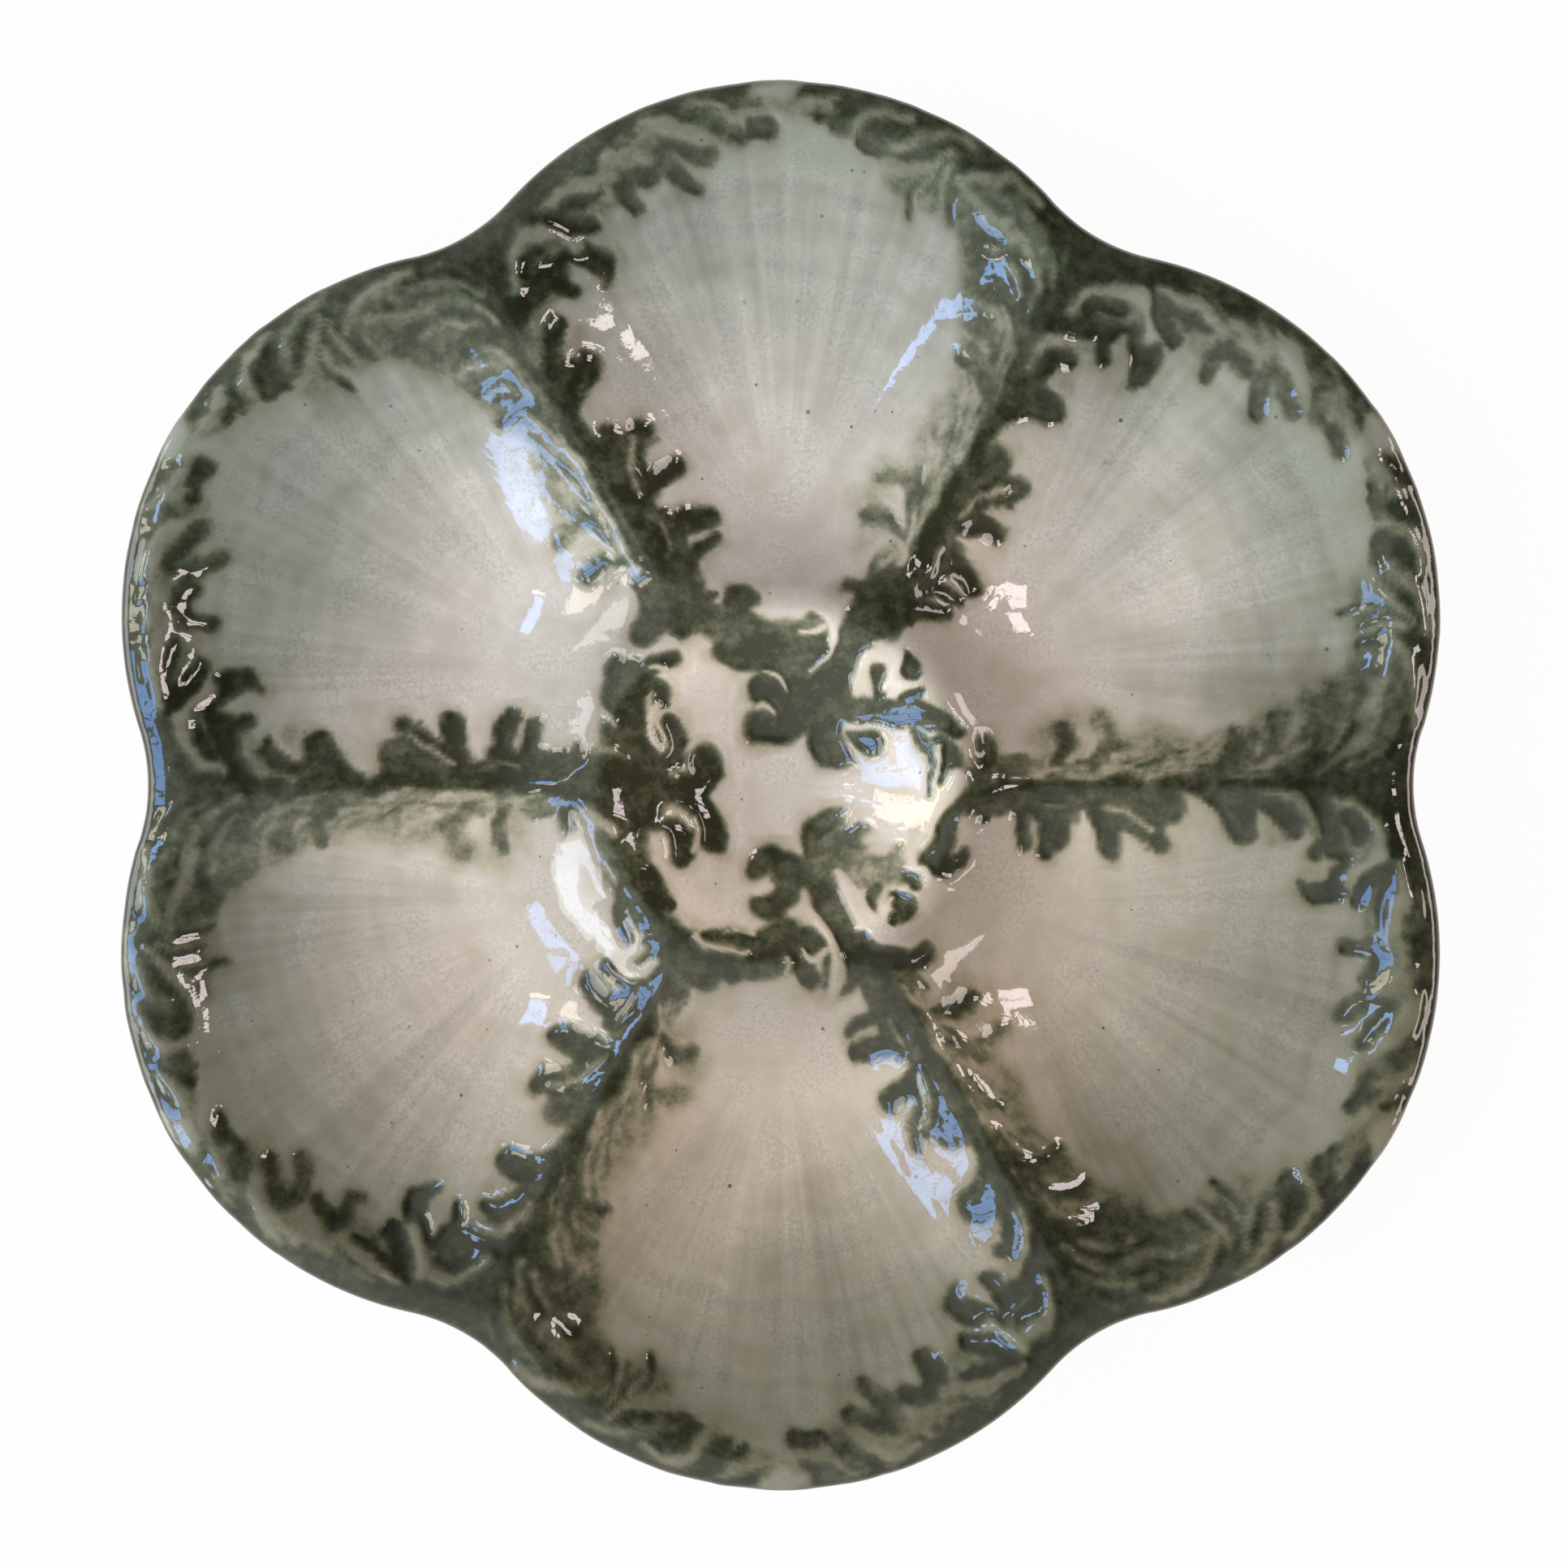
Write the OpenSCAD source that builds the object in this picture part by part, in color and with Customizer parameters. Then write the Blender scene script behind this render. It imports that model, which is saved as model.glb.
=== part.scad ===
// Oyster plate: six shell-shaped wells round a centre well, with leafy ridges between them.
// The plate is one pressed clay body, and a foot ring is luted to its underside.
// The origin is on the table under the middle of the plate, and +Z is up.

/* [Outline] */
// Width across two opposite lobe tips
plate_d = 245; // [215:1:275]
// Height of the rim crest above the table
plate_h = 27; // [24:0.5:32]
// Number of wells, and of lobes on the rim
wells = 6; // [5:1:7]
// Radius of the edge round one lobe
lobe_r = 64; // [58:1:70]
// Radius of the hollow in the edge between two lobes
notch_r = 32; // [22:1:42]

/* [Wells] */
// Thickness of the clay under a well
wall_t = 5; // [4:0.25:6.5]
// Width of the slope from a ridge down to a well's floor
side_w = 28; // [24:0.5:32]
// Width of the slope from the centre well's crest down to a well's floor
hinge_w = 34; // [30:0.5:38]
// Width of the slope just inside the rim crest
outer_w = 12; // [9:0.5:16]
// Share of those widths over which neighbouring slopes run together
blend_share = 0.4; // [0.2:0.05:0.6]
// How far from the middle a well's floor begins to rise towards the rim
rise_r = 50; // [44:1:56]
// Share of a well's depth that its floor has regained at the rim
rise_share = 0.9; // [0.7:0.05:0.95]
// Power of that rise: 1 is straight, more is hollower
rise_power = 1.6; // [1.2:0.1:2.2]
// Extra clay behind a ridge
ridge_fill = 3.5; // [1:0.25:5]
// How far the ridges dip below the rim crest
ridge_drop = 4; // [2:0.25:6]
// How far from the middle the ridges are lowest
ridge_low_r = 48; // [42:1:56]

/* [Centre well] */
// Radius of the crest round the centre well
ring_r = 31; // [27:0.5:35]
// How far that crest lies below the rim crest
ring_drop = 1; // [0.5:0.25:4]
// Radius of the centre well's floor
centre_floor_r = 3; // [1:0.5:12]
// How far the centre well's floor lies above the other floors
centre_lift = 3.5; // [1:0.25:5]

/* [Rim] */
// Distance from the rim crest to the edge
rim_w = 5.5; // [4:0.5:8]
// How far the rim rolls down from its crest to the edge
rim_drop = 2; // [1:0.25:3]
// Thickness of the lip
lip_t = 4.5; // [3.5:0.25:5.5]

/* [Foot] */
// Outer diameter of the foot ring where it stands
foot_d = 142; // [126:1:156]
// Width of the foot ring where it stands, its rounded edges included
foot_w = 6; // [5:0.25:8]
// Height of the wells' undersides above the table
foot_h = 7; // [5:0.25:9]
// How far the foot ring spreads on each side to meet the plate
foot_flare = 3; // [1.5:0.25:4]
// Rounding of the foot ring's edges
foot_edge = 1; // [0.5:0.1:1.5]

/* [Relief] */
// Depth of the leaves pressed into the ridges and the rim
leaf_depth = 1; // [0.4:0.1:1.4]
// Depth of the curls pressed into the centre well
curl_depth = 1.2; // [0.4:0.1:1.6]
// Number of curled knots round the centre well
knots = 3; // [2:1:4]

/* [Hidden] */

clay = [0.66, 0.66, 0.61];
bisque = [0.86, 0.80, 0.70];

tip_r = plate_d / 2;
half_turn = 180 / wells;
lobe_c = tip_r - lobe_r;
notch_c = lobe_c * cos(half_turn) + sqrt(pow(lobe_r + notch_r, 2) - pow(lobe_c * sin(half_turn), 2));
join_x = lobe_c + (notch_c * cos(half_turn) - lobe_c) * lobe_r / (lobe_r + notch_r);
join_y = notch_c * sin(half_turn) * lobe_r / (lobe_r + notch_r);
join_turn = atan2(join_y, join_x);
floor_z = foot_h + wall_t;
ridge_z = plate_h - ridge_drop;
ring_z = plate_h - ring_drop;
foot_out = foot_d / 2;
foot_in = foot_out - foot_w;

// Columns of the mesh: a multiple of four for each well, drawn together at the ridges
cols = wells * 4 * floor(36 / wells);
gather_share = 0.35;
hub_rings = 8;
well_rings = 26;
lip_turns = [90, 45, 0, -45, -90];
skirt_shares = [0.78, 0.52, 0.26];
under_shares = [0.82, 0.64, 0.46, 0.28, 0.12];
// Side of the foot ring: share of the flare, share of the height
foot_side_shares = [[0.55, 0.75], [0.2, 0.45]];

// Leaves on one ridge, seen with the ridge pointing right: from x, y to x, y and half width,
// all as shares of the tip radius
leaf_shares = [
    [0.27, 0, 0.88, 0, 0.022],
    [0.29, -0.01, 0.33, -0.085, 0.02],
    [0.34, -0.01, 0.375, -0.1, 0.022],
    [0.41, -0.02, 0.46, -0.085, 0.022],
    [0.47, -0.02, 0.535, -0.09, 0.024],
    [0.6, -0.02, 0.64, -0.07, 0.024],
    [0.67, -0.02, 0.72, -0.06, 0.022],
    [0.75, -0.03, 0.79, -0.1, 0.024],
    [0.79, -0.1, 0.755, -0.15, 0.026],
    [0.82, -0.05, 0.825, -0.14, 0.02],
    [0.87, -0.12, 0.85, -0.17, 0.02],
    [0.86, -0.19, 0.835, -0.26, 0.022],
    [0.84, -0.28, 0.8, -0.31, 0.022],
    [0.87, -0.33, 0.845, -0.37, 0.02],
    [0.84, -0.4, 0.815, -0.43, 0.024],
    [0.34, 0.02, 0.4, 0.075, 0.024],
    [0.42, 0.02, 0.455, 0.095, 0.022],
    [0.5, 0.015, 0.54, 0.06, 0.02],
    [0.6, 0.015, 0.64, 0.07, 0.02],
    [0.66, 0.02, 0.7, 0.075, 0.02],
    [0.72, 0.02, 0.8, 0.12, 0.026],
    [0.8, 0.01, 0.865, 0.1, 0.026],
    [0.82, 0.16, 0.875, 0.2, 0.022],
    [0.8, 0.24, 0.86, 0.28, 0.022],
    [0.79, 0.32, 0.84, 0.35, 0.022],
    [0.78, 0.39, 0.83, 0.41, 0.022],
];
// One knot of curls, seen with the knot to the right of the middle
curl_shares = [
    [0.25, 0, 0.15, 0, 0.026],
    [0.15, 0.01, 0.11, 0.05, 0.036],
    [0.15, -0.01, 0.115, -0.06, 0.038],
    [0.2, 0.03, 0.16, 0.1, 0.024],
    [0.2, -0.03, 0.155, -0.105, 0.026],
    [0.25, 0.04, 0.21, 0.15, 0.03],
    [0.25, -0.04, 0.21, -0.15, 0.03],
];

// Smooth step from 0 to 1 as t goes from 0 to 1
function ease(t) = let (c = min(max(t, 0), 1)) c * c * (3 - 2 * c);

// The lesser of two lengths, run together where they differ by under w
function soft_min(a, b, w) = min(a, b) - pow(max(w - abs(a - b), 0), 2) / (4 * w);

// Share of the full depth at a share t of a slope's width: rounded crest, hollow floor
function bowl(t) = let (c = min(max(t, 0), 1)) pow(1 - pow(1 - c, 2), 1.5);

// Turn of a direction from the nearest ridge
function from_ridge(a) = a - 2 * half_turn * round(a / (2 * half_turn));

// Radius of the outline in a direction
function edge_r(a) =
    let (ridge_turn = abs(from_ridge(a)), lobe_turn = half_turn - ridge_turn)
    lobe_turn < join_turn
        ? lobe_c * cos(lobe_turn) + sqrt(pow(lobe_r, 2) - pow(lobe_c * sin(lobe_turn), 2))
        : notch_c * cos(ridge_turn) - sqrt(pow(notch_r, 2) - pow(notch_c * sin(ridge_turn), 2));

// Distance from a point to a line between two points
function line_gap(x, y, l) =
    let (dx = l[2] - l[0], dy = l[3] - l[1],
         t = ((x - l[0]) * dx + (y - l[1]) * dy) / (dx * dx + dy * dy),
         c = min(max(t, 0), 1))
    norm([x - l[0] - c * dx, y - l[1] - c * dy]);

// How deep a point lies in a group of strokes, from 0 to 1
function pressed(x, y, strokes) = max([for (s = strokes) ease(1.5 - line_gap(x, y, s) / s[4])]);

// Leaves of the nearest ridge and curls of the nearest knot
function relief(r, a) =
    let (b = from_ridge(a), x = r * cos(b) / tip_r, y = r * sin(b) / tip_r,
         knot_turn = 360 / knots, first = 2 * half_turn,
         k = a - first - knot_turn * round((a - first) / knot_turn))
    r > ring_r
        ? leaf_depth * pressed(x, y, leaf_shares)
        : curl_depth * pressed(r * cos(k) / tip_r, r * sin(k) / tip_r, curl_shares);

// Height of the crest that would stand at a radius, from the ring over the dip to the rim
function crest_z(r, a) =
    let (out = edge_r(a) - rim_w)
    r < ridge_low_r
        ? ring_z + (ridge_z - ring_z) * ease((r - ring_r) / (ridge_low_r - ring_r))
        : ridge_z + (plate_h - ridge_z) * ease((r - ridge_low_r) / (out - ridge_low_r));

// Height of a well's floor, curving up towards the rim
function well_floor_z(r, a) =
    let (way = min(max((r - rise_r) / (edge_r(a) - rim_w - rise_r), 0), 1))
    floor_z + rise_share * (plate_h - floor_z) * pow(way, rise_power);

// Share of a well's depth at a point: 0 on a crest, 1 on the floor
function well_share(r, a) =
    let (side = r * sin(abs(from_ridge(a))) / side_w,
         out = (edge_r(a) - rim_w - r) / outer_w,
         hinge = (r - ring_r) / hinge_w)
    bowl(soft_min(soft_min(side, out, blend_share), hinge, blend_share));

// Height of the top before any leaves are pressed into it
function plain_z(r, a) =
    let (crest = crest_z(r, a), past = (r - edge_r(a) + rim_w) / rim_w)
    r > ring_r
        ? crest - (crest - well_floor_z(r, a)) * well_share(r, a) - rim_drop * pow(max(past, 0), 2)
        : ring_z - (ring_z - floor_z - centre_lift) * bowl((ring_r - r) / (ring_r - centre_floor_r));

function top_z(r, a) = plain_z(r, a) - relief(r, a);

// Height of the underside: even clay under the wells, more behind the ridges, thin at the lip
function under_z(r, a) =
    let (depth = r > ring_r ? well_share(r, a) : bowl((ring_r - r) / (ring_r - centre_floor_r)),
         inside = ease((edge_r(a) - lip_t / 2 - r) / side_w),
         thick = lip_t + (wall_t - lip_t + ridge_fill * (1 - depth)) * inside)
    plain_z(r, a) - thick;

// Direction of column i of n, with the columns drawn together at the ridges
function col_turn(i, n) =
    let (u = 360 * i / n) u - gather_share * sin(wells * u) * 180 / (PI * wells);

function at(r, a, z) = [r * cos(a), r * sin(a), z];

// Faces between two rings of points, of which one may have twice the columns of the other
function strip(a0, na, b0, nb) = [
    for (i = [0 : min(na, nb) - 1])
        let (a = i * na / min(na, nb), b = i * nb / min(na, nb),
             a1 = a0 + (a + na / min(na, nb)) % na, b1 = b0 + (b + nb / min(na, nb)) % nb)
        each na == nb ? [[a0 + a, b1, b0 + b], [a0 + a, a1, b1]]
            : na < nb ? [[a0 + a, b0 + b + 1, b0 + b], [a0 + a, a1, b0 + b + 1], [a1, b1, b0 + b + 1]]
            : [[b0 + b, a0 + a, a0 + a + 1], [b0 + b, a0 + a + 1, b1], [b1, a0 + a + 1, a1]]
];

// Closed skin over a list of rings, with a pole before the first and after the last
module skin(pole_a, rings, pole_b) {
    n = len(rings);
    starts = [for (i = 0, s = 1; i < n; s = s + len(rings[i]), i = i + 1) s];
    last = starts[n - 1] + len(rings[n - 1]);
    points = [pole_a, for (ring = rings) each ring, pole_b];
    cap_a = [for (i = [0 : len(rings[0]) - 1]) [0, 1 + (i + 1) % len(rings[0]), 1 + i]];
    tail = len(rings[n - 1]);
    cap_b = [for (i = [0 : tail - 1])
        [last, starts[n - 1] + i, starts[n - 1] + (i + 1) % tail]];
    sides = [for (i = [0 : n - 2]) each strip(starts[i], len(rings[i]), starts[i + 1], len(rings[i + 1]))];
    polyhedron(points, concat(cap_a, sides, cap_b), convexity = 8);
}

// Ring of n points on the top or the underside, at a radius that may follow the outline
function hub_ring(r, n) = [for (i = [0 : n - 1]) let (a = col_turn(i, n)) at(r, a, top_z(r, a))];

function well_ring(t, n) = [
    for (i = [0 : n - 1])
        let (a = col_turn(i, n), r = ring_r + t * (edge_r(a) - lip_t / 2 - ring_r))
        at(r, a, top_z(r, a))
];

function lip_ring(turn, n) = [
    for (i = [0 : n - 1])
        let (a = col_turn(i, n), mid = edge_r(a) - lip_t / 2)
        at(mid + lip_t / 2 * cos(turn), a, plain_z(mid, a) - lip_t / 2 + lip_t / 2 * sin(turn))
];

function skirt_ring(t, n) = [
    for (i = [0 : n - 1])
        let (a = col_turn(i, n), start = foot_out + foot_flare,
             r = start + t * (edge_r(a) - lip_t / 2 - start))
        at(r, a, under_z(r, a))
];

function under_ring(r, n) = [for (i = [0 : n - 1]) let (a = col_turn(i, n)) at(r, a, under_z(r, a))];

// Radii at which the foot ring and the plate share their points
foot_seats = [foot_out + foot_flare, (foot_out + foot_in) / 2, foot_in - foot_flare];

module body() {
    half = cols / 2;
    color(clay)
    skin(
        [0, 0, top_z(0, 0)],
        [
            for (k = [1 : hub_rings]) hub_ring(ring_r * k / hub_rings, half),
            for (k = [1 : well_rings - 1]) well_ring(k / well_rings, cols),
            for (turn = lip_turns) lip_ring(turn, cols),
            for (t = skirt_shares) skirt_ring(t, half),
            for (r = foot_seats) under_ring(r, half),
            for (t = under_shares) under_ring(t * foot_seats[2], half)
        ],
        [0, 0, under_z(0, 0)]
    );
}

// Foot ring, scribed on top to the plate's underside
module foot_ring() {
    n = cols / 2;
    outer = [for (s = foot_side_shares) [for (i = [0 : n - 1])
        let (a = col_turn(i, n)) at(foot_out + foot_flare * s[0], a, under_z(foot_seats[0], a) * s[1])]];
    inner = [for (s = foot_side_shares) [for (i = [0 : n - 1])
        let (a = col_turn(i, n)) at(foot_in - foot_flare * s[0], a, under_z(foot_seats[2], a) * s[1])]];
    land = [for (p = [[foot_out, foot_edge], [foot_out - foot_edge, 0], [foot_in + foot_edge, 0],
                      [foot_in, foot_edge]])
        [for (i = [0 : n - 1]) at(p[0], col_turn(i, n), p[1])]];
    rings = concat([under_ring(foot_seats[2], n), under_ring(foot_seats[1], n), under_ring(foot_seats[0], n)],
                   outer, land, [inner[1], inner[0]]);
    count = len(rings);
    faces = [for (i = [0 : count - 1]) each strip(i * n, n, ((i + 1) % count) * n, n)];
    color(bisque)
    polyhedron([for (ring = rings) each ring], faces, convexity = 6);
}

body();
foot_ring();
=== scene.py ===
"""Oyster plate with shell-shaped wells, pressed leaves and a majolica glaze, dressed round its frame."""
import math

import bpy
import numpy as np
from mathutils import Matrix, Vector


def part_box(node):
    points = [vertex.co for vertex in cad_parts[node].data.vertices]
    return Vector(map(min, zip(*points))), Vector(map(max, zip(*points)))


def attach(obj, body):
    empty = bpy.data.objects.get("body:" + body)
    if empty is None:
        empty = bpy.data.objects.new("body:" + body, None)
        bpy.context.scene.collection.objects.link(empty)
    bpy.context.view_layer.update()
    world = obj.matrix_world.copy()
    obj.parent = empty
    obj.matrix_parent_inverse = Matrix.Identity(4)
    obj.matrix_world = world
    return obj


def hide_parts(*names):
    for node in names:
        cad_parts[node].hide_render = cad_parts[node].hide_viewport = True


bl_info = {
    "name": "Oyster Plate",
    "version": (1, 0, 0),
    "blender": (4, 5, 0),
    "location": "3D View > Sidebar > Plate",
    "description": "Builds the glazed oyster plate, its foot ring and the stage round the packed frame",
    "category": "Add Mesh",
}

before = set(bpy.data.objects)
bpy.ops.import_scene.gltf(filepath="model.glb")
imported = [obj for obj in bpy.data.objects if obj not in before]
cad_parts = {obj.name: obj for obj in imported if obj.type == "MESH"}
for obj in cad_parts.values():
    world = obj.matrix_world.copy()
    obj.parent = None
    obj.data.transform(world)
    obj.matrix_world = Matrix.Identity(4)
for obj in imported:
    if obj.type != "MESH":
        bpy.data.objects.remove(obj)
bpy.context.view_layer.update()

BODY_LOW, BODY_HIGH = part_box("body")
TIP_R = (BODY_HIGH[1] - BODY_LOW[1]) / 2

# One millimetre of the plate as drawn, 245 mm across
MM = TIP_R / 122.5
# One step of the ornament's drawing, in which the plate's lobe tips lie 867 steps out
STEP = TIP_R / 867

# Sizes of the clay form, as in the part's source
WELLS = 6
HALF_TURN = math.pi / WELLS
LOBE_R = 64 * MM
NOTCH_R = 32 * MM
WALL = 5 * MM
SIDE_W = 28 * MM
HINGE_W = 34 * MM
OUTER_W = 12 * MM
BLEND_SHARE = 0.4
RIDGE_FILL = 3.5 * MM
RIDGE_DROP = 4 * MM
RIDGE_LOW_R = 48 * MM
FLOOR_RISE = 13.5 * MM
RISE_R = 50 * MM
RISE_POWER = 1.6
RING_R = 31 * MM
RING_DROP = 1 * MM
CENTRE_FLOOR_R = 3 * MM
CENTRE_LIFT = 3.5 * MM
RIM_W = 5.5 * MM
RIM_DROP = 2 * MM
LIP = 4.5 * MM
FOOT_OUT = 71 * MM
FOOT_IN = 65 * MM
FOOT_FLARE = 3 * MM
FOOT_EDGE = 1 * MM
FLOOR_Z = 12 * MM
CREST_Z = BODY_HIGH[2]
RING_Z = CREST_Z - RING_DROP
DIP_Z = CREST_Z - RIDGE_DROP

# Width of a stroke's edge over the softness in its table, share of its level that spreads thinly
# round it, and reach of that spread in widths of the edge
SOFTEN = 0.95
SPREAD = 0.17
SPREAD_REACH = 2.5
# Points along a stroke's curve
CURVE_POINTS = 9
# Drift of the drawing by hand: size of its waves and reach of the shift
DRIFTS = ((30 * MM, 0.4 * MM), (9 * MM, 0.35 * MM), (4 * MM, 0.18 * MM))
# Level of the glaze in the band along the rim, and softness of the band's edge
BAND_LEVEL = 0.8
BAND_SOFT = 16 * STEP
# Blur of the level where it presses the clay down
PRESS_BLUR = 7 * STEP
# Height of the camera, and height at which it sees the plate's edge
VIEW_Z = 0.4
EDGE_Z = CREST_Z - RIM_DROP * (1 - LIP / 2 / RIM_W) ** 2 - LIP / 2

LOBE_C = TIP_R - LOBE_R
NOTCH_C = (LOBE_C * math.cos(HALF_TURN)
           + math.sqrt((LOBE_R + NOTCH_R) ** 2 - (LOBE_C * math.sin(HALF_TURN)) ** 2))
JOIN_TURN = math.atan2(NOTCH_C * math.sin(HALF_TURN) * LOBE_R / (LOBE_R + NOTCH_R),
                       LOBE_C + (NOTCH_C * math.cos(HALF_TURN) - LOBE_C) * LOBE_R / (LOBE_R + NOTCH_R))

# Columns of the plate's rings at the rim, over the wells, in the centre well and underneath
RIM_COLS = 1152
WELL_COLS = 576
HUB_COLS = 288
UNDER_COLS = 144
# Rings of the underside near the lip, and over the rest of it, as shares of the way out
UNDER_BANDS = ((HUB_COLS, (0.985, 0.965)), (UNDER_COLS, np.linspace(0.94, 0.02, 32)))
# Rings of the centre well, and the shares of its radius where the columns double
CENTRE_RINGS = 54
HUB_START = 0.3
HUB_END = 0.72
# Rings from the centre well's crest out to the lip: shares of the way at start and end, rings, columns
WELL_BANDS = ((0, 0.2, 24, WELL_COLS), (0.2, 0.74, 47, WELL_COLS), (0.74, 1, 27, RIM_COLS))
# Turns round the lip in degrees, from its top to its underside
LIP_TURNS = (64, 38, 12, -14, -40, -66, -90)
FOOT_COLS = 312
FLARE_RINGS = 8
FLARE_POWER = 2.2

# Hinge of the shells: how far from the middle their rays meet
HINGE_R = 42 * MM

# The ornament is painted in strokes, each over the ones before it. A stroke is a curve from a start
# past a pull to an end, in drawing steps: start x, y, pull x, y, end x, y, half widths at the start,
# middle and end, level of glaze (0 thin, 1 deepest) and softness of its edge.

# Thicker glaze round the leaves of one rim, seen with the lobe's tip pointing to +x
LOBE_WASH = [
    (690, 262, 745, 220, 770, 165, 24, 34, 30, 0.38, 26),
    (760, 160, 776, 122, 806, 92, 24, 26, 18, 0.32, 24),
    (800, 62, 832, 50, 850, 24, 18, 24, 16, 0.35, 22),
    (838, -26, 836, -58, 826, -92, 16, 22, 28, 0.55, 20),
    (816, -90, 806, -130, 790, -176, 26, 36, 40, 0.6, 24),
    (782, -170, 748, -220, 690, -282, 34, 48, 54, 0.44, 34),
    (742, -148, 728, -178, 730, -206, 18, 26, 24, 0.42, 34),
]
# Thicker glaze along one ridge, seen with the ridge pointing to +x
RIDGE_WASH = [
    (235, 14, 400, 16, 560, 26, 18, 20, 27, 0.55, 24),
    (535, 26, 650, 40, 764, 104, 30, 58, 70, 0.62, 40),
    (235, -16, 340, -24, 470, -28, 20, 24, 28, 0.78, 14),
    (318, 60, 360, 92, 402, 80, 18, 26, 16, 0.26, 44),
    (424, 48, 458, 62, 496, 52, 16, 22, 14, 0.34, 32),
    (655, -20, 700, -60, 748, -90, 30, 34, 30, 0.5, 26),
]
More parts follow.
